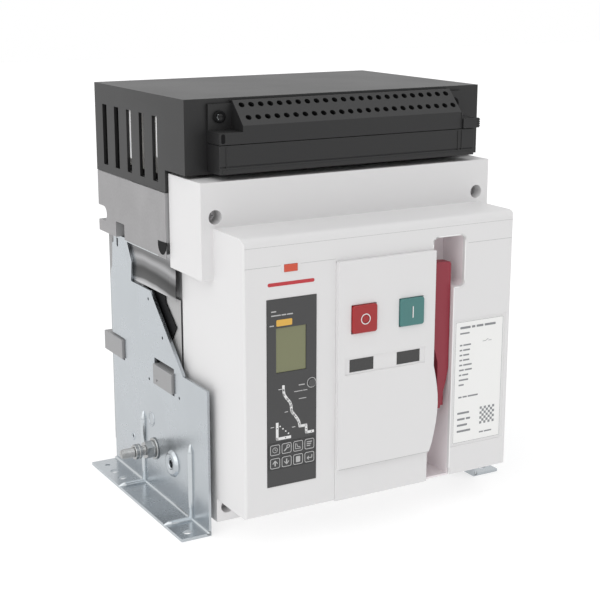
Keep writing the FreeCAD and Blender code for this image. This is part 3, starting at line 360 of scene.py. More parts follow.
def make_finishes(colours):
    """Every finish by its name; a slot of the record has the finish of the same name."""
    print_of = dict(grain=2600.0, depth=0.00001)
    plastics = {
        "white_plastic": dict(base=colours.cover_white, depth=0.00003, cloud=0.015, worn=1.1),
        "label_white": dict(base=(0.86, 0.86, 0.85), roughness=0.32, grain=2400.0, depth=0.00001, cloud=0.01),
        "black_plastic": dict(base=colours.cover_black, roughness=0.46, grain=1100.0, depth=0.00006,
                              cloud=0.10, worn=2.4, shine=0.44),
        "grey_moulding": dict(base=colours.housing_grey, roughness=0.55, grain=900.0, depth=0.00006,
                              cloud=0.07, worn=1.3),
        "dark_panel": dict(base=colours.panel_dark, roughness=0.42, grain=2600.0, depth=0.00002, cloud=0.05,
                           worn=1.4),
        "case_grey": dict(base=(0.82, 0.77, 0.785), roughness=0.55, worn=1.05),
        "display_glass": dict(base=colours.screen, roughness=0.22, grain=2600.0, depth=0.000008, cloud=0.05,
                              coat=0.6),
        "lamp_orange": dict(base=colours.lamp, roughness=0.25, depth=0.00001, coat=0.4),
        "red_plastic": dict(base=colours.stop_red, roughness=0.33, depth=0.00002, worn=1.2),
        "green_plastic": dict(base=colours.start_green, roughness=0.35, depth=0.00002),
        "reset_plastic": dict(base=(0.07, 0.07, 0.072), roughness=0.35, depth=0.00002),
        "handle_red": dict(base=colours.handle_red, roughness=0.45, grain=1200.0, depth=0.00005, cloud=0.08,
                           worn=1.5),
        "flag_plastic": dict(base=(0.16, 0.16, 0.165), roughness=0.45),
        "coil_resin": dict(base=(0.02, 0.035, 0.06), roughness=0.30, depth=0.00003),
        "joint_shade": dict(base=(0.42, 0.42, 0.42), roughness=0.6, cloud=0.03, **print_of),
        "badge_red": dict(base=(0.50, 0.03, 0.04), roughness=0.4, cloud=0.04, **print_of),
        "print_white": dict(base=(0.78, 0.78, 0.78), roughness=0.45, cloud=0.02, **print_of),
        # Pale white for painted light: the backdrop seen through the vents and the highlight on the pocket's
        # lip.
        "painted_light_white": dict(base=(0.90, 0.90, 0.90), roughness=0.4, cloud=0.01, **print_of),
        "print_silver": dict(base=(0.48, 0.48, 0.48), roughness=0.45, cloud=0.02, **print_of),
        "print_grey": dict(base=(0.24, 0.25, 0.26), cloud=0.03, **print_of),
        "print_black": dict(base=(0.006, 0.006, 0.0065), roughness=0.6, cloud=0.03, shine=0.1, **print_of),
        "sticker_yellow": dict(base=(0.72, 0.42, 0.07), roughness=0.4, grain=2400.0, depth=0.00001,
                               cloud=0.04),
    }
    metals = {
        "zinc_steel": dict(base=colours.zinc, roughness=0.26, lines=1100.0, tone=0.13),
        "shaft_steel": dict(base=(0.44, 0.44, 0.45), roughness=0.28, lines=1400.0),
        "copper": dict(base=colours.copper, roughness=0.30, lines=500.0, tone=0.16),
        "splitter_steel": dict(base=(0.50, 0.50, 0.51), roughness=0.35),
        "galvanised": dict(base=(0.35, 0.345, 0.35), roughness=0.50, lines=420.0, depth=0.00010, tone=0.30,
                           wear=1.0),
        # Brighter, glossier copy of the zinc: painted highlight on the bracket ribs and bend, the side
        # plate's bottom edge and the ear screw's glint.
        "zinc_painted_highlight": dict(base=(0.54, 0.57, 0.59), roughness=0.18, lines=1600.0, tone=0.12, wear=0.6),
        "stud_steel": dict(base=(0.33, 0.335, 0.335), roughness=0.10, lines=260.0, depth=0.00005, tone=0.75,
                           wear=1.0),
    }
    made = {name: moulded(name, **values) for name, values in plastics.items()}
    made.update({name: plated(name, **values) for name, values in metals.items()})
    made.update(smoked_lens=clear_lens(), insulating_board=fibre_board(), shield_steel=shield_sheet_painted_reflection())
    return made


FINISH = {}


# ---------------------------------------------------------------- mesh helpers

def new_piece(name, bm, finish, body, replaces=(), smooth=True):
    """Object from a bmesh, with its finish, riding on a body."""
    mesh = bpy.data.meshes.new(name)
    bm.to_mesh(mesh)
    bm.free()
    piece = bpy.data.objects.new(name, mesh)
    bpy.context.scene.collection.objects.link(piece)
    mesh.materials.append(FINISH[finish])
    if smooth:
        mesh.shade_smooth()
        weighted = piece.modifiers.new("weighted", "WEIGHTED_NORMAL")
        weighted.keep_sharp = True
        weighted.weight = 80
    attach(piece, body)
    if replaces:
        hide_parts(*replaces)
    return piece


def round_edges(bm, width, segments=2):
    """Rounds the sharp edges and marks the new faces in the edge attribute."""
    layer = bm.faces.layers.float.get("edge") or bm.faces.layers.float.new("edge")
    sharp = [edge for edge in bm.edges if len(edge.link_faces) == 2
             and edge.calc_face_angle(0.0) > SHARP_ANGLE]
    if sharp:
        made = bmesh.ops.bevel(bm, geom=sharp, offset=width, offset_type="OFFSET", segments=segments,
                               profile=0.5, affect="EDGES", clamp_overlap=True, material=-1)
        for face in made["faces"]:
            face[layer] = 1.0
    return bm


def cad_copy(node):
    """Merged copy of a CAD node's mesh with its flat areas joined into whole faces."""
    bm = bmesh.new()
    bm.from_mesh(frame["nodes"][node].data)
    bmesh.ops.remove_doubles(bm, verts=bm.verts, dist=MERGE)
    for edge in bm.edges:
        edge.smooth = True
    bmesh.ops.dissolve_limit(bm, angle_limit=FLAT_ANGLE, verts=bm.verts, edges=bm.edges,
                             use_dissolve_boundaries=False)
    return bm


def softened(node, width, finish=None):
    """A CAD node's shape with rounded edges, in place of the node."""
    return new_piece(f"{node}_soft", round_edges(cad_copy(node), width), finish or SLOT_OF[node],
                     BODY_OF[node], replaces=(node,))


def add_box(bm, low, high):
    """Box between two corners, added to a bmesh."""
    low, high = Vector(low), Vector(high)
    made = bmesh.ops.create_cube(bm, size=1.0)
    bmesh.ops.scale(bm, vec=high - low, verts=made["verts"])
    bmesh.ops.translate(bm, vec=(low + high) / 2, verts=made["verts"])
    return made["verts"]


def rounded_face(bm, centre, width, height, radius):
    """Flat face in an XZ plane with rounded corners, facing the front."""
    made = bmesh.ops.create_grid(bm, x_segments=1, y_segments=1, size=0.5,
                                 matrix=Matrix.Rotation(math.radians(90), 4, "X"))
    bmesh.ops.scale(bm, vec=(width, 1.0, height), verts=made["verts"])
    bmesh.ops.translate(bm, vec=centre, verts=made["verts"])
    if radius:
        bmesh.ops.bevel(bm, geom=made["verts"], offset=radius, offset_type="OFFSET", segments=5,
                        profile=0.5, affect="VERTICES", material=-1)
    bm.faces.ensure_lookup_table()
    return bm.faces[-1]


def raise_faces(bm, faces, height):
    """Extrudes flat marks forward by their height and closes their backs."""
    made = bmesh.ops.extrude_face_region(bm, geom=faces, use_keep_orig=True)
    verts = [item for item in made["geom"] if isinstance(item, bmesh.types.BMVert)]
    bmesh.ops.translate(bm, vec=(0.0, -height, 0.0), verts=verts)
    bmesh.ops.recalc_face_normals(bm, faces=bm.faces)


def spun(bm, profile, centre, axis, steps=48):
    """Turned shape: profile points are (along the axis, radius)."""
    axis = Vector(axis).normalized()
    across = axis.orthogonal().normalized()
    verts = [bm.verts.new(Vector(centre) + axis * along + across * radius) for along, radius in profile]
    edges = [bm.edges.new(pair) for pair in zip(verts, verts[1:])]
    bmesh.ops.spin(bm, geom=verts + edges, cent=centre, axis=axis, angle=2 * math.pi, steps=steps,
                   use_merge=True)
    bmesh.ops.remove_doubles(bm, verts=bm.verts, dist=0.000005)
    bmesh.ops.recalc_face_normals(bm, faces=bm.faces)


def hexagon(bm, centre, axis, flats, length):
    """Hexagon nut along an axis, with its corners and flats chamfered at both ends."""
    axis = Vector(axis).normalized()
    turn = axis.to_track_quat("Z", "Y").to_matrix().to_4x4()
    corner = flats / math.sqrt(3)
    part = bmesh.new()
    bmesh.ops.create_cone(part, cap_ends=True, segments=6, radius1=corner, radius2=corner, depth=length)
    for end in (-1, 1):
        for angle in range(0, 360, 60):
            lean = Matrix.Rotation(math.radians(angle + 30), 3, "Z") @ Vector((1, 0, 0))
            tip = Matrix.Rotation(math.radians(angle), 3, "Z") @ Vector((1, 0, 0))
            for way in (tip, lean):
                reach = flats / 2 if way is lean else flats / 2 + 0.2 * (corner - flats / 2)
                bmesh.ops.bisect_plane(part, geom=part.verts[:] + part.edges[:] + part.faces[:],
                                       plane_co=Vector((0, 0, end * length / 2)) + way * reach,
                                       plane_no=(way + Vector((0, 0, end * 1.9))).normalized(),
                                       clear_outer=True)
                loops = [edge for edge in part.edges if edge.is_boundary]
                if loops:
                    bmesh.ops.holes_fill(part, edges=loops)
    bmesh.ops.transform(part, matrix=Matrix.Translation(centre) @ turn, verts=part.verts)
    copy = bpy.data.meshes.new("hexagon")
    part.to_mesh(copy)
    part.free()
    bm.from_mesh(copy)
    bpy.data.meshes.remove(copy)


class Marks:
    """Flat printed or raised marks in one plane that faces the front, gathered into one piece."""

    def __init__(self, name, finish, surface, height, body="breaker"):
        self.name, self.finish, self.body, self.surface, self.height = name, finish, body, surface, height
        self.bm = bmesh.new()

    def place(self, x, z):
        return Vector((x * MM, self.surface - 0.00001, z * MM))

    def bar(self, x0, x1, z0, z1, radius=0.0):
        rounded_face(self.bm, self.place((x0 + x1) / 2, (z0 + z1) / 2), abs(x1 - x0) * MM, abs(z1 - z0) * MM,
                     radius * MM)

    def frame(self, x, z, width, height, radius, line):
        face = rounded_face(self.bm, self.place(x, z), width * MM, height * MM, radius * MM)
        bmesh.ops.inset_individual(self.bm, faces=[face], thickness=line * MM, use_even_offset=True)
        bmesh.ops.delete(self.bm, geom=[face], context="FACES_ONLY")

    def ring(self, x, z, outer, line, steps=48):
        made = bmesh.ops.create_circle(self.bm, cap_ends=True, radius=outer * MM, segments=steps,
                                       matrix=Matrix.Translation(self.place(x, z))
                                       @ Matrix.Rotation(math.radians(90), 4, "X"))
        face = made["verts"][0].link_faces[0]
        if line < outer:
            bmesh.ops.inset_individual(self.bm, faces=[face], thickness=line * MM, use_even_offset=True)
            bmesh.ops.delete(self.bm, geom=[face], context="FACES_ONLY")

    def line(self, points, width):
        """Strip of even width along points, with round joints."""
        for (x0, z0), (x1, z1) in zip(points, points[1:]):
            run = Vector((x1 - x0, 0.0, z1 - z0))
            made = bmesh.ops.create_grid(self.bm, x_segments=1, y_segments=1, size=0.5,
                                         matrix=Matrix.Rotation(math.radians(90), 4, "X"))
            bmesh.ops.scale(self.bm, vec=(run.length * MM, 1.0, width * MM), verts=made["verts"])
            turn = Matrix.Rotation(math.atan2(-run.z, run.x), 4, "Y")
            middle_of_run = self.place((x0 + x1) / 2, (z0 + z1) / 2)
            bmesh.ops.transform(self.bm, matrix=Matrix.Translation(middle_of_run) @ turn, verts=made["verts"])
        for x, z in points[1:-1]:
            self.ring(x, z, width / 2, width, steps=12)

    def words(self, x, z, lengths, height):
        """A row of short bars in place of words."""
        for length in lengths:
            self.bar(x, x + length, z, z + height, radius=height * 0.3)
            x += length + height * 0.7

    def done(self):
        raise_faces(self.bm, self.bm.faces[:], self.height)
        return new_piece(self.name, self.bm, self.finish, self.body, smooth=False)


def arc_points(x, z, radius, start, end, steps=8):
    return [(x + radius * math.cos(math.radians(start + (end - start) * i / steps)),
             z + radius * math.sin(math.radians(start + (end - start) * i / steps)))
            for i in range(steps + 1)]


def upright(near, far, bottom, top):
    """Corners of a rectangle, as (depth, height)."""
    return [(near, bottom), (far, bottom), (far, top), (near, top)]


def millimetres(node):
    """A node's box with its X and Z in millimetres, and the Y of its front in metres."""
    low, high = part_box(node)
    return low.x / MM, high.x / MM, low.z / MM, high.z / MM, low.y


# ---------------------------------------------------------------- operators

class BREAKER_OT_finishes(bpy.types.Operator):
    """Make every finish and put it on the frame's own nodes"""
    bl_idname = "breaker.finishes"
    bl_label = "Finishes"

    def execute(self, context):
        FINISH.update(make_finishes(context.scene.breaker_colours))
        for node, piece in frame["nodes"].items():
            for holder in piece.material_slots:
                holder.material = FINISH[SLOT_OF[node]]
        return {"FINISHED"}


class BREAKER_OT_covers(bpy.types.Operator):
    """Round the moulded covers, panels and blocks"""
    bl_idname = "breaker.covers"
    bl_label = "Covers"

    def execute(self, context):
        edge = context.scene.breaker_sizes.moulded_edge
        for node, share in (("front_cover", 1.0), ("button_panel", 1.5), ("arc_cover", 1.1),
                            ("handle_well", 0.6), ("terminal_base", 0.7), ("terminal_cap", 0.45),
                            ("housing_front", 1.0), ("housing_rear", 1.0), ("trip_unit_panel", 0.4),
                            ("charging_handle", 2.2), ("stop_button", 0.4), ("start_button", 0.4),
                            ("reset_button", 0.5), ("status_lamp", 0.4), ("rating_label", 0.15),
                            ("keypad_membrane", 0.3), ("lcd_screen", 0.3), ("window_lenses", 0.2),
                            ("handle_pin", 0.3)):
            softened(node, edge * share)
        low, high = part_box("button_panel")
        bm = bmesh.new()
        add_box(bm, (low.x + 0.3 * MM, FACE_Y - 1.2 * MM, high.z - 2.6 * MM),
                (low.x + 104.0 * MM, FACE_Y + 1.5 * MM, high.z + 0.05 * MM))
        new_piece("panel_skirt", round_edges(bm, 0.3 * MM, 2), "white_plastic", "breaker")
        return {"FINISHED"}


class BREAKER_OT_metalwork(bpy.types.Operator):
    """Round the side brackets, screws and copper terminals"""
    bl_idname = "breaker.metalwork"
    bl_label = "Metalwork"

    def execute(self, context):
        sizes = context.scene.breaker_sizes
        for node in ("bracket_left", "bracket_right"):
            softened(node, sizes.sheet_edge)
        softened("cover_screws", sizes.sheet_edge, finish="galvanised")
        softened("terminal_screws", sizes.sheet_edge, finish="black_plastic")
        for pole in "abc":
            softened(f"upper_terminal_{pole}", sizes.metal_edge)
            softened(f"lower_terminal_{pole}", sizes.metal_edge)
        return {"FINISHED"}


class BREAKER_OT_earth_bolt(bpy.types.Operator):
    """Make the threaded earthing stud with its nut and washers"""
    bl_idname = "breaker.earth_bolt"
    bl_label = "Earthing stud"

    def execute(self, context):
        sizes = context.scene.breaker_sizes
        low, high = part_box("earth_stud")
        hardware_low, hardware_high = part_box("earth_hardware")
        centre = (low + high) / 2
        radius = STUD_RADIUS * MM
        outward = Vector((-1.0, 0.0, 0.0))

        def at(x):
            return Vector((x, centre.y, centre.z))

        bm = bmesh.new()
        pitch, steps = sizes.thread_pitch, sizes.thread_steps
        start = hardware_high.x
        turns = int((start - low.x) / pitch) - 1
        root = radius - THREAD_DEPTH * pitch
        profile = [(0.0, root), (0.44 * pitch, radius), (0.56 * pitch, radius), (pitch, root)]
        verts = [bm.verts.new(at(start) + outward * along + Vector((0.0, 0.0, out)))
                 for along, out in profile]
        edges = [bm.edges.new(pair) for pair in zip(verts, verts[1:])]
        bmesh.ops.spin(bm, geom=verts + edges, cent=at(start), axis=outward, dvec=outward * (pitch / steps),
                       angle=2 * math.pi * turns, steps=steps * turns, use_merge=False)
        bmesh.ops.remove_doubles(bm, verts=bm.verts, dist=0.00001)
        tip = low.x
        for vert in bm.verts:
            reach = Vector((0.0, vert.co.y - centre.y, vert.co.z - centre.z))
            most = radius - 1.0 * MM + max(vert.co.x - tip, 0.0)
            if reach.length > most:
                vert.co = at(vert.co.x) + reach * (most / reach.length)
        core = [(0.0, 0.0), (0.0, radius - 1.0 * MM), (1.0 * MM, radius - 0.62 * pitch),
                (start - tip, radius - 0.62 * pitch), (start - tip, 0.0)]
        spun(bm, core, at(tip), -outward)
        new_piece("earth_stud_thread", bm, "stud_steel", "breaker", replaces=("earth_stud",))

        bm = bmesh.new()
        hexagon(bm, at(hardware_low.x + 8.4 * MM), outward, NUT_FLATS * MM, NUT_LENGTH * MM)
        spun(bm, [(0.0, radius), (0.0, 10.4 * MM), (0.5 * MM, 11.0 * MM), (1.5 * MM, 11.0 * MM),
                  (2.0 * MM, 10.4 * MM), (2.0 * MM, radius)], at(hardware_high.x), outward)
        spun(bm, [(2.0 * MM, radius), (2.0 * MM, 8.3 * MM), (2.3 * MM, 8.6 * MM), (4.1 * MM, 8.6 * MM),
                  (4.4 * MM, 8.3 * MM), (4.4 * MM, radius)], at(hardware_high.x), outward)
        spun(bm, [(0.0, radius), (0.0, 7.0 * MM), (0.6 * MM, 7.6 * MM), (2.6 * MM, 7.6 * MM),
                  (3.0 * MM, 7.0 * MM), (3.4 * MM, 7.6 * MM), (6.4 * MM, 7.6 * MM), (7.0 * MM, 7.0 * MM),
                  (7.0 * MM, radius)], at(hardware_low.x), outward)
        new_piece("earth_nut_and_washers", round_edges(bm, 0.15 * MM, 1), "stud_steel", "breaker",
                  replaces=("earth_hardware",))
        return {"FINISHED"}


class BREAKER_OT_pressed_marks(bpy.types.Operator):
    """Make the dished bush, the pressed rings, the ribs and the bend of the side brackets"""
    bl_idname = "breaker.pressed_marks"
    bl_label = "Pressed marks"

    def rib(self, bm, start, end, lift):
        """Half-round rib from start to end, standing out by lift, with a far end that runs out."""
        along = (end - start).normalized()
        length, taper = (end - start).length, 3.0 * lift
        profile = [(0.0, 0.0), (0.0, lift), (length - 0.5 * lift, lift)] + [
            (length - 0.5 * lift + taper * share, lift * (1.0 - share * share))
            for share in (0.25, 0.5, 0.75, 0.95)]
        spun(bm, profile, start, along, steps=32)

    def execute(self, context):
        for word, side in (("left", -1), ("right", 1)):
            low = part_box(f"bracket_{word}")[0]
            face = side * BRACKET_FACE * MM
            outward = Vector((side, 0.0, 0.0))
            bm = bmesh.new()
            depth, height = BUSH_PLACE
            bush = Vector((face, FACE_Y + depth * MM, low.z + height * MM))
            spun(bm, [(along * MM, out * MM) for along, out in BUSH_PROFILE], bush, outward)
            for depth, height, radius in PRESSED_RINGS:
                spot = Vector((face, FACE_Y + depth * MM, low.z + height * MM))
                spun(bm, [(along * MM, (radius + out) * MM) for along, out in RING_PROFILE], spot, outward,
                     steps=32)
            new_piece(f"bracket_{word}_marks", bm, "zinc_steel", "breaker")
            bm = bmesh.new()
            foot = low.z + BEND * MM
            for depth in RIB_DEPTHS:
                y = FACE_Y + depth * MM
                for end in ((face, y, low.z + RIB_TOP * MM), (side * RIB_OUT * MM, y, foot)):
                    self.rib(bm, Vector((face, y, foot)), Vector(end), RIB_LIFT * MM)
            radius, length = 2.2 * MM, 225.5 * MM
            spun(bm, [(0.0, 0.0), (0.0, radius), (length, radius), (length, 0.0)],
                 Vector((face, FACE_Y + 57.0 * MM, foot)), (0.0, 1.0, 0.0), steps=32)
            # The ribs and bend are real; their brighter zinc copy paints their highlights.
            new_piece(f"bracket_{word}_ribs", bm, "zinc_painted_highlight", "breaker")
        return {"FINISHED"}


class BREAKER_OT_side_sheets(bpy.types.Operator):
    """Make the side plates with a painted highlight strip on their edge, the sheets with painted reflection
    bands, the near-black sheets of painted shade under them and in the plates' notches, and the pale strips
    of painted backdrop light in the vents
    """
    bl_idname = "breaker.side_sheets"
    bl_label = "Side sheets"

    def sheet(self, name, finish, outline, near, far, side, edge):
        """Sheet between two X distances from the middle; outline points are (depth, height)."""
        bm = bmesh.new()
        verts = [bm.verts.new((side * near * MM, FACE_Y + depth * MM, height * MM))
                 for depth, height in outline]
        made = bmesh.ops.extrude_face_region(bm, geom=[bm.faces.new(verts)], use_keep_orig=True)
        moved = [item for item in made["geom"] if isinstance(item, bmesh.types.BMVert)]
        bmesh.ops.translate(bm, vec=(side * (far - near) * MM, 0.0, 0.0), verts=moved)
        bmesh.ops.recalc_face_normals(bm, faces=bm.faces)
        return new_piece(name, round_edges(bm, edge * MM, 2), finish, "breaker")

    def execute(self, context):
        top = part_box("housing_rear")[1].z / MM - 0.4
        back = (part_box("arc_cover")[1].y - FACE_Y) / MM - 2.3
        lug_recess = arc_points(278.5, 269.0, 7.6, 90, 270, 10)
        plate = [(126.2, top), (126.2, 250.0), (225.4, 250.0), (225.4, 266.0), (247.7, 266.0), (247.7, 250.0),
                 (back, 250.0), (back, 261.4), *reversed(lug_recess), (back, 276.6), (back, top)]
        # Painted shade: a near-black sheet standing in for the shade in the recess under the side shield.
        shade_web = [(200.0, 209.0), (158.6, 209.0), (157.0, 200.6), (133.2, 181.1), (145.5, 165.3),
               (150.0, 150.0), (200.0, 132.0)]
        # Painted shade: a near-black D-shaped sheet standing in for the shade in the notch of the side plate.
        notch_shade = [(143.5, 265.2)] + arc_points(134.2, 262.2, 9.2, 0, -180, 14) + [(123.4, 265.9)]
        sheets = (("side_plate_{}", "galvanised", plate, 158.5, 159.5, 0.25),
                  # Painted highlight: a bright zinc strip along the side plate's bottom edge.
                  ("side_plate_edge_{}", "zinc_painted_highlight", upright(144.4, 225.4, 250.0, 250.9),
                   159.3, 159.7, 0.1),
                  # Side shield: its finish paints reflection and shade bands by height.
                  ("side_shield_{}", "shield_steel", upright(126.2, 282.0, 209.5, 252.0),
                   149.75, 150.35, 0.1),
                  ("side_guide_{}", "joint_shade", upright(126.4, 200.0, 132.0, 209.0), 145.1, 145.6, 0.1),
                  ("side_web_{}", "print_black", shade_web, 146.3, 147.2, 0.1),
                  ("side_plug_{}", "print_black", notch_shade, 159.2, 159.7, 0.1),
                  # Painted light: pale strips behind the vents standing in for the bright backdrop seen
                  # through them.
                  ("vent_strip_{}_0", "painted_light_white", upright(208.6, 214.6, 333.0, 384.0), 155.0, 155.6, 0.05),
                  ("vent_strip_{}_1", "painted_light_white", upright(187.8, 189.6, 336.0, 384.0), 155.0, 155.6, 0.05),
                  ("vent_strip_{}_2", "painted_light_white", upright(147.9, 151.0, 341.5, 384.0), 155.0, 155.6, 0.05))
        for word, side in (("left", -1), ("right", 1)):
            for name, finish, outline, near, far, edge in sheets:
                self.sheet(name.format(word), finish, outline, near, far, side, edge)
        return {"FINISHED"}


class BREAKER_OT_button_marks(bpy.types.Operator):
    """Make the ring and bar inlays of the push buttons"""
    bl_idname = "breaker.button_marks"
    bl_label = "Button marks"

    def execute(self, context):
        height = context.scene.breaker_sizes.print_height
        for node in ("stop_button", "start_button"):
            x0, x1, z0, z1, front = millimetres(node)
            x, z = (x0 + x1) / 2, (z0 + z1) / 2
            marks = Marks(f"{node}_mark", "print_white", front, height * 2, BODY_OF[node])
            if node == "stop_button":
                marks.ring(x, z, 5.0, 0.8)
            else:
                marks.bar(x - 0.55, x + 0.55, z - 5.4, z + 5.4, radius=0.5)
            marks.done()
        return {"FINISHED"}


class BREAKER_OT_trip_unit_print(bpy.types.Operator):
    """Print the trip unit's curves, keys, sticker and rows on its front foil"""
    bl_idname = "breaker.trip_unit_print"
    bl_label = "Trip unit print"

    def execute(self, context):
        height = context.scene.breaker_sizes.print_height
        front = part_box("trip_unit_panel")[0].y
        curve = Marks("trip_curve_print", "print_white", front, height)
        curve.line([(-106.1, 155.2), (-106.0, 150.5), (-105.2, 146.4), (-102.2, 141.9), (-99.4, 138.6),
                    (-98.2, 135.2), (-98.0, 130.8), (-97.0, 128.6), (-95.0, 126.2), (-91.8, 121.8),
                    (-90.2, 118.6), (-89.6, 114.5), (-83.0, 114.5), (-82.7, 107.6), (-74.8, 107.6)], 2.5)
        curve.line([(-112.4, 121.5), (-112.4, 106.2), (-98.4, 106.2)], 2.6)
        for step in range(4):
            curve.ring(-109.4 + step * 2.8, 117.6 - step * 2.6, 0.75, 0.75, steps=12)
        for x, z in ((-111.2, 151.6), (-104.8, 129.9), (-97.4, 114.6), (-119.0, 117.6)):
            curve.bar(x, x + 3.4, z, z + 0.45)
        curve.done()

        dots = Marks("trip_curve_dots", "print_black", front - height, height)
        for x, z in ((-105.9, 150.6), (-101.4, 141.0), (-98.0, 132.0), (-93.6, 124.2), (-89.6, 116.6),
                     (-82.9, 111.0), (-77.4, 107.6), (-112.4, 116.0), (-104.0, 106.2)):
            dots.ring(x, z, 0.5, 1.0, steps=16)
        dots.done()

        rows = Marks("trip_unit_rows", "print_silver", front, height)
        for x, z, lengths, tall in ((-118.0, 222.4, (5.0,), 1.5), (-118.0, 218.8, (9.5, 4.6, 6.0), 1.5),
                                    (-90.6, 152.6, (6.2,), 1.3), (-95.2, 147.2, (8.6, 4.4), 1.0),
                                    (-90.4, 140.0, (7.6,), 1.0), (-119.6, 209.9, (4.4,), 1.3)):
            rows.words(x, z, lengths, tall * 0.7)
        reset = millimetres("reset_button")
        rows.ring((reset[0] + reset[1]) / 2, (reset[2] + reset[3]) / 2, 4.8, 0.8)
        rows.done()

        sticker = Marks("model_sticker", "sticker_yellow", front, height * 2)
        sticker.bar(-112.9, -97.2, 209.4, 215.2, radius=1.0)
        sticker.done()

        keys = Marks("key_symbols", "print_silver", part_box("keypad_membrane")[0].y, height)
        columns = [FIRST_KEY + KEY_PITCH * i for i in range(4)]
        for z in KEY_ROWS:
            for x in columns:
                keys.frame(x, z, 10.0, 9.8, 1.9, 0.6)
        self.symbols(keys, columns, *KEY_ROWS)
        keys.done()
        return {"FINISHED"}

    def symbols(self, keys, columns, upper, lower):
        """Plain pictograms: clock, tool, curve, rows, then up, down, page and enter."""
        clock, tool, graph, rows = columns
        keys.ring(clock, upper, 2.6, 0.45, steps=24)
        keys.line([(clock, upper + 1.7), (clock, upper), (clock + 1.3, upper - 0.7)], 0.5)
        keys.line([(tool - 2.4, upper - 2.4), (tool + 0.8, upper + 0.8)], 1.1)
        keys.ring(tool + 1.6, upper + 1.6, 1.7, 0.7, steps=18)
        keys.line([(graph - 2.6, upper + 2.8), (graph - 2.6, upper - 2.4), (graph + 2.8, upper - 2.4)], 0.6)
        keys.line([(graph - 1.4, upper + 2.4), (graph - 0.6, upper - 0.4), (graph + 2.4, upper - 1.2)], 0.6)
        for step in range(3):
            keys.bar(rows - 2.7, rows + 2.7 - step * 0.9, upper + 1.6 - step * 1.8, upper + 2.4 - step * 1.8)
        up, down, page, enter = columns
        for x, way in ((up, 1.0), (down, -1.0)):
            barb = lower - 0.4 * way
            keys.line([(x - 2.4, barb), (x, lower + 2.4 * way), (x + 2.4, barb)], 0.8)
            keys.bar(x - 0.6, x + 0.6, lower + 1.8 * way, lower - 2.6 * way)
        keys.frame(page, lower, 4.4, 5.6, 0.9, 0.5)
        keys.bar(page - 1.0, page + 1.0, lower - 0.2, lower + 0.2)
        keys.line([(enter + 2.6, lower + 2.0), (enter + 2.6, lower - 0.8), (enter - 2.2, lower - 0.8)], 0.7)
        keys.line([(enter - 0.6, lower + 0.8), (enter - 2.4, lower - 0.8), (enter - 0.6, lower - 2.4)], 0.7)


class BREAKER_OT_label_print(bpy.types.Operator):
    """Print plain rows, a switch symbol and a plain grid on the rating label"""
    bl_idname = "breaker.label_print"
    bl_label = "Label print"

    def execute(self, context):
        x0, x1, z0, z1, front = millimetres("rating_label")
        wide, tall = x1 - x0, z1 - z0
        ink = Marks("label_print", "print_grey", front, context.scene.breaker_sizes.print_height)
        ink.frame((x0 + x1) / 2, (z0 + z1) / 2, wide - 1.0, tall - 1.0, 0.6, 0.3)
        left = x0 + 0.10 * wide
        ink.words(left, z1 - 0.062 * tall, (12.0, 4.0, 8.0, 13.0), 2.2)
        ink.words(left, z1 - 0.105 * tall, (11.0,), 1.5)
        for row, lengths in enumerate(((3.0, 9.0), (3.0, 8.0), (3.2, 7.0), (3.2, 7.4), (3.6, 10.0),
                                       (5.6, 8.4), (2.8, 7.0), (11.0,), (6.0,))):
            ink.words(left, z1 - (0.20 + 0.0405 * row) * tall, lengths, 1.5)
        ink.words(left, z1 - 0.625 * tall, (4.0, 5.0, 12.0), 1.5)
        x, z = x0 + 0.66 * wide, z1 - 0.185 * tall
        ink.line([(x - 5.0, z), (x - 1.4, z)], 0.45)
        ink.line([(x - 1.4, z), (x + 1.8, z + 1.9)], 0.45)
        ink.line([(x + 2.0, z), (x + 5.6, z)], 0.45)
        cell = 2.5
        for row in range(7):
            for column in range(7):
                if (row + column) % 2 == 0:
                    left_edge, low_edge = x0 + 0.56 * wide + column * cell, z0 + 0.13 * tall + row * cell
                    ink.bar(left_edge, left_edge + cell * 0.98, low_edge, low_edge + cell * 0.98)
        for row, lengths in enumerate(((14.0,), (9.0, 5.0), (12.0,), (16.0,))):
            ink.words(x0 + 0.09 * wide, z0 + (0.24 - 0.05 * row) * tall, lengths, 2.0)
        ink.words(x0 + 0.56 * wide, z0 + 0.055 * tall, (5.0, 9.0), 1.4)
        ink.done()
        return {"FINISHED"}


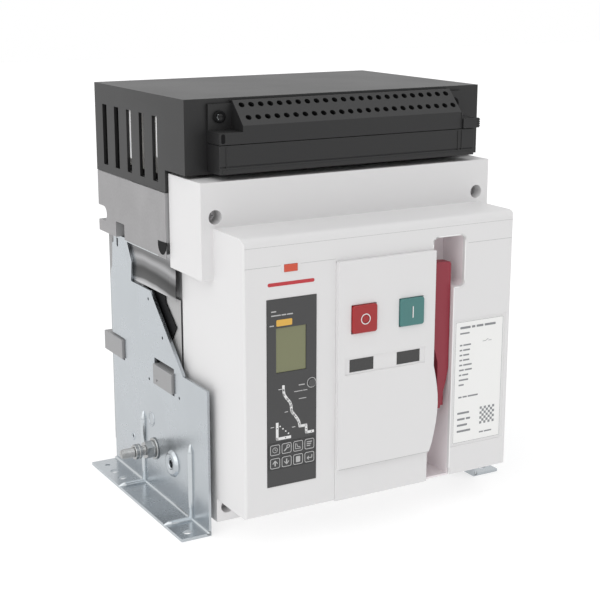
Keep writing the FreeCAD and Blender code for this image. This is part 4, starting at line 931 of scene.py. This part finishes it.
class BREAKER_OT_cover_lines(bpy.types.Operator):
    """Make the fine joint lines, the pocket's raised lip with its painted highlight, the lamp's frame and the
    plain badge
    """
    bl_idname = "breaker.cover_lines"
    bl_label = "Cover lines"

    def execute(self, context):
        height = context.scene.breaker_sizes.print_height
        cover = millimetres("front_cover")
        face = cover[4]
        low_joint, high_joint = JOINT_HEIGHTS
        panel = millimetres("button_panel")
        lamp = millimetres("status_lamp")
        joint = Marks("cover_joint_lines", "joint_shade", face, height * 0.5)
        joint.bar(-COVER_HALF, lamp[0] - 3.2, low_joint, low_joint + 0.35)
        joint.bar(lamp[1] + 3.2, panel[0] - 0.6, low_joint, low_joint + 0.3)
        joint.bar(91.5, COVER_HALF - 1.0, low_joint, low_joint + 0.35)
        joint.bar(-COVER_HALF, COVER_HALF, high_joint, high_joint + 0.25)
        joint.done()
        seam = Marks("panel_joint_line", "joint_shade", panel[4], height * 0.5)
        seam.bar(panel[0] + 1.2, 48.6, 66.3, 66.7)
        seam.done()

        # Raised lip around the handle pocket, in a whiter finish than the cover: a painted highlight along
        # its rim.
        lip_highlight = Marks("pocket_lip_highlight", "painted_light_white", face, 0.35 * MM)
        lip_highlight.line([(51.6, 261.5)] + arc_points(57.2, 266.0, 5.6, 180, 90) + arc_points(82.5, 266.0, 5.6, 90, 0)
                 + arc_points(82.5, 227.5, 5.6, 0, -90) + [(76.4, 221.9), (76.4, 36.0)], 1.1)
        lip_highlight.done()
        frame_of_lamp = Marks("lamp_frame", "white_plastic", face, 0.3 * MM)
        frame_of_lamp.frame((lamp[0] + lamp[1]) / 2, (lamp[2] + lamp[3]) / 2, lamp[1] - lamp[0] + 5.0,
                            lamp[3] - lamp[2] + 5.0, 2.5, 2.3)
        frame_of_lamp.done()
        badge = Marks("plain_badge", "badge_red", face, height * 2)
        badge.bar(-121.0, -74.5, 245.2, 248.4, radius=1.5)
        badge.done()
        return {"FINISHED"}


class BREAKER_OT_terminal_block(bpy.types.Operator):
    """Make the block's ribs and clip, the painted shade of its end opening, and the bushes and glint in its
    ears
    """
    bl_idname = "breaker.terminal_block"
    bl_label = "Terminal block"

    def execute(self, context):
        low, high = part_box("terminal_base")
        bm = bmesh.new()
        front, ends = low.y, (low.x, high.x)
        for x0, x1, z0, z1, proud in ((ends[0] / MM + 3.0, ends[1] / MM - 3.0, 336.2, 339.6, 0.5),
                                      (-130.8, -129.8, 341.0, 359.5, 0.6), (117.4, 118.4, 341.0, 359.8, 0.6),
                                      (121.8, 122.6, 341.0, 359.8, 0.6), (121.3, 122.2, 362.6, 377.0, 0.6),
                                      (122.6, 141.4, 361.7, 371.0, 2.2)):
            add_box(bm, (x0 * MM, front - proud * MM, z0 * MM), (x1 * MM, front + 1.0 * MM, z1 * MM))
        for step in range(4):
            z = (363.0 + step * 2.0) * MM
            add_box(bm, (139.4 * MM, front - 2.8 * MM, z), (141.8 * MM, front + 5.0 * MM, z + 1.0 * MM))
        new_piece("terminal_block_ribs", round_edges(bm, 0.25 * MM, 2), "black_plastic", "breaker")

        ear_low, ear_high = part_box("terminal_screws")
        bm = bmesh.new()
        for x in (ear_low.x + 4.4 * MM, ear_high.x - 4.4 * MM):
            spun(bm, [(0.0, 2.9 * MM), (-0.5 * MM, 3.4 * MM), (-0.7 * MM, 4.4 * MM), (-0.4 * MM, 5.4 * MM),
                      (0.6 * MM, 5.6 * MM)], Vector((x, ear_low.y, (ear_low.z + ear_high.z) / 2)),
                 (0.0, 1.0, 0.0))
        new_piece("ear_bushes", bm, "print_black", "breaker")
        # Painted shade: a near-black patch standing in for the shade inside the block's end opening.
        holes = Marks("end_opening_shade", "print_black", low.y, 0.05 * MM)
        holes.bar(-135.2, -131.4, 362.6, 371.2, radius=1.8)
        holes.done()
        glint = Marks("ear_screw_glint", "zinc_painted_highlight", ear_low.y - 0.2 * MM, 0.2 * MM)
        glint.line(arc_points(ear_low.x / MM + 4.2, 384.0, 3.4, 125, 235), 1.7)
        glint.done()
        return {"FINISHED"}


def pale_floor():
    """Near-white floor with a faint mottling and a little light of its own, so shadows stay soft."""
    made, t, surface, place = shader("floor_white", (FLOOR_GREY,) * 3, 0.7)
    mottle = t.add("ShaderNodeTexNoise", Vector=place, Scale=3.0, Detail=3.0)
    t.link(t.mix(mottle.outputs[0], (FLOOR_GREY - 0.01,) * 3, (FLOOR_GREY + 0.01,) * 3),
           surface.inputs["Base Color"])
    surface.inputs["Emission Color"].default_value = (1.0, 1.0, 1.0, 1.0)
    surface.inputs["Emission Strength"].default_value = FLOOR_GLOW
    return made


class BREAKER_OT_studio(bpy.types.Operator):
    """Set up the pale floor, the soft lights, the world and the camera"""
    bl_idname = "breaker.studio"
    bl_label = "Studio"

    def execute(self, context):
        scene = context.scene
        bm = bmesh.new()
        bmesh.ops.create_grid(bm, x_segments=1, y_segments=1, size=6.0)
        floor_mesh = bpy.data.meshes.new("studio_floor")
        bm.to_mesh(floor_mesh)
        bm.free()
        floor = bpy.data.objects.new("studio_floor", floor_mesh)
        floor_mesh.materials.append(pale_floor())
        scene.collection.objects.link(floor)
        floor_mesh.transform(Matrix.Translation((0, 0, CAD_BOX[0].z)))
        for name, towards, strength, width in (("sky_sun", (-0.30, -0.12, 1.0), 1.25, 100.0),
                                               ("left_sheen", (-1.0, -0.45, 0.40), 0.58, 70.0)):
            data = bpy.data.lights.new(name, "SUN")
            data.energy, data.angle = strength, math.radians(width)
            lamp = bpy.data.objects.new(name, data)
            lamp.rotation_euler = Vector(towards).to_track_quat("Z", "Y").to_euler()
            scene.collection.objects.link(lamp)
        world = bpy.data.worlds.new("studio_world")
        world.use_nodes = True
        t = Tree(world.node_tree)
        rays = t.add("ShaderNodeLightPath")
        back = world.node_tree.nodes["Background"]
        back.inputs["Color"].default_value = (1.0, 1.0, 1.0, 1.0)
        dimmed = t.math("MULTIPLY", rays.outputs["Is Diffuse Ray"], DIFFUSE_DIMMING)
        t.link(t.math("SUBTRACT", 1.0, dimmed), back.inputs["Strength"])
        scene.world = world
        scene.view_settings.view_transform = "Standard"
        self.camera(scene)
        return {"FINISHED"}

    def camera(self, scene):
        data = bpy.data.cameras.new("studio_camera")
        data.lens = scene.breaker_sizes.lens
        data.sensor_width = 36.0
        data.shift_x, data.shift_y = CAMERA_SHIFT
        camera = bpy.data.objects.new("studio_camera", data)
        level = math.cos(CAMERA_ELEVATION)
        back = Vector((math.sin(CAMERA_AZIMUTH) * level, -math.cos(CAMERA_AZIMUTH) * level,
                       math.sin(CAMERA_ELEVATION)))
        camera.location = CAMERA_PLACE
        camera.rotation_euler = (-back).to_track_quat("-Z", "Y").to_euler()
        scene.collection.objects.link(camera)
        scene.camera = camera


class BREAKER_PT_panel(bpy.types.Panel):
    """Sidebar list of the breaker's operators and settings"""
    bl_idname = "BREAKER_PT_panel"
    bl_label = "Air Circuit Breaker"
    bl_space_type = "VIEW_3D"
    bl_region_type = "UI"
    bl_category = "Breaker"

    def draw(self, context):
        for operator in OPERATORS:
            self.layout.operator(operator.bl_idname)
        for name in BreakerSizes.__annotations__:
            self.layout.prop(context.scene.breaker_sizes, name)
        for name in BreakerColours.__annotations__:
            self.layout.prop(context.scene.breaker_colours, name)


OPERATORS = (BREAKER_OT_finishes, BREAKER_OT_covers, BREAKER_OT_metalwork, BREAKER_OT_earth_bolt,
             BREAKER_OT_pressed_marks, BREAKER_OT_side_sheets, BREAKER_OT_button_marks,
             BREAKER_OT_trip_unit_print, BREAKER_OT_label_print, BREAKER_OT_cover_lines,
             BREAKER_OT_terminal_block, BREAKER_OT_studio)
CLASSES = (BreakerSizes, BreakerColours, *OPERATORS, BREAKER_PT_panel)


def register():
    for item in CLASSES:
        bpy.utils.register_class(item)
    bpy.types.Scene.breaker_sizes = PointerProperty(type=BreakerSizes)
    bpy.types.Scene.breaker_colours = PointerProperty(type=BreakerColours)


def unregister():
    del bpy.types.Scene.breaker_colours
    del bpy.types.Scene.breaker_sizes
    for item in reversed(CLASSES):
        bpy.utils.unregister_class(item)


def main():
    register()
    for operator in OPERATORS:
        group, name = operator.bl_idname.split(".")
        getattr(getattr(bpy.ops, group), name)()


if __name__ == "__main__":
    main()
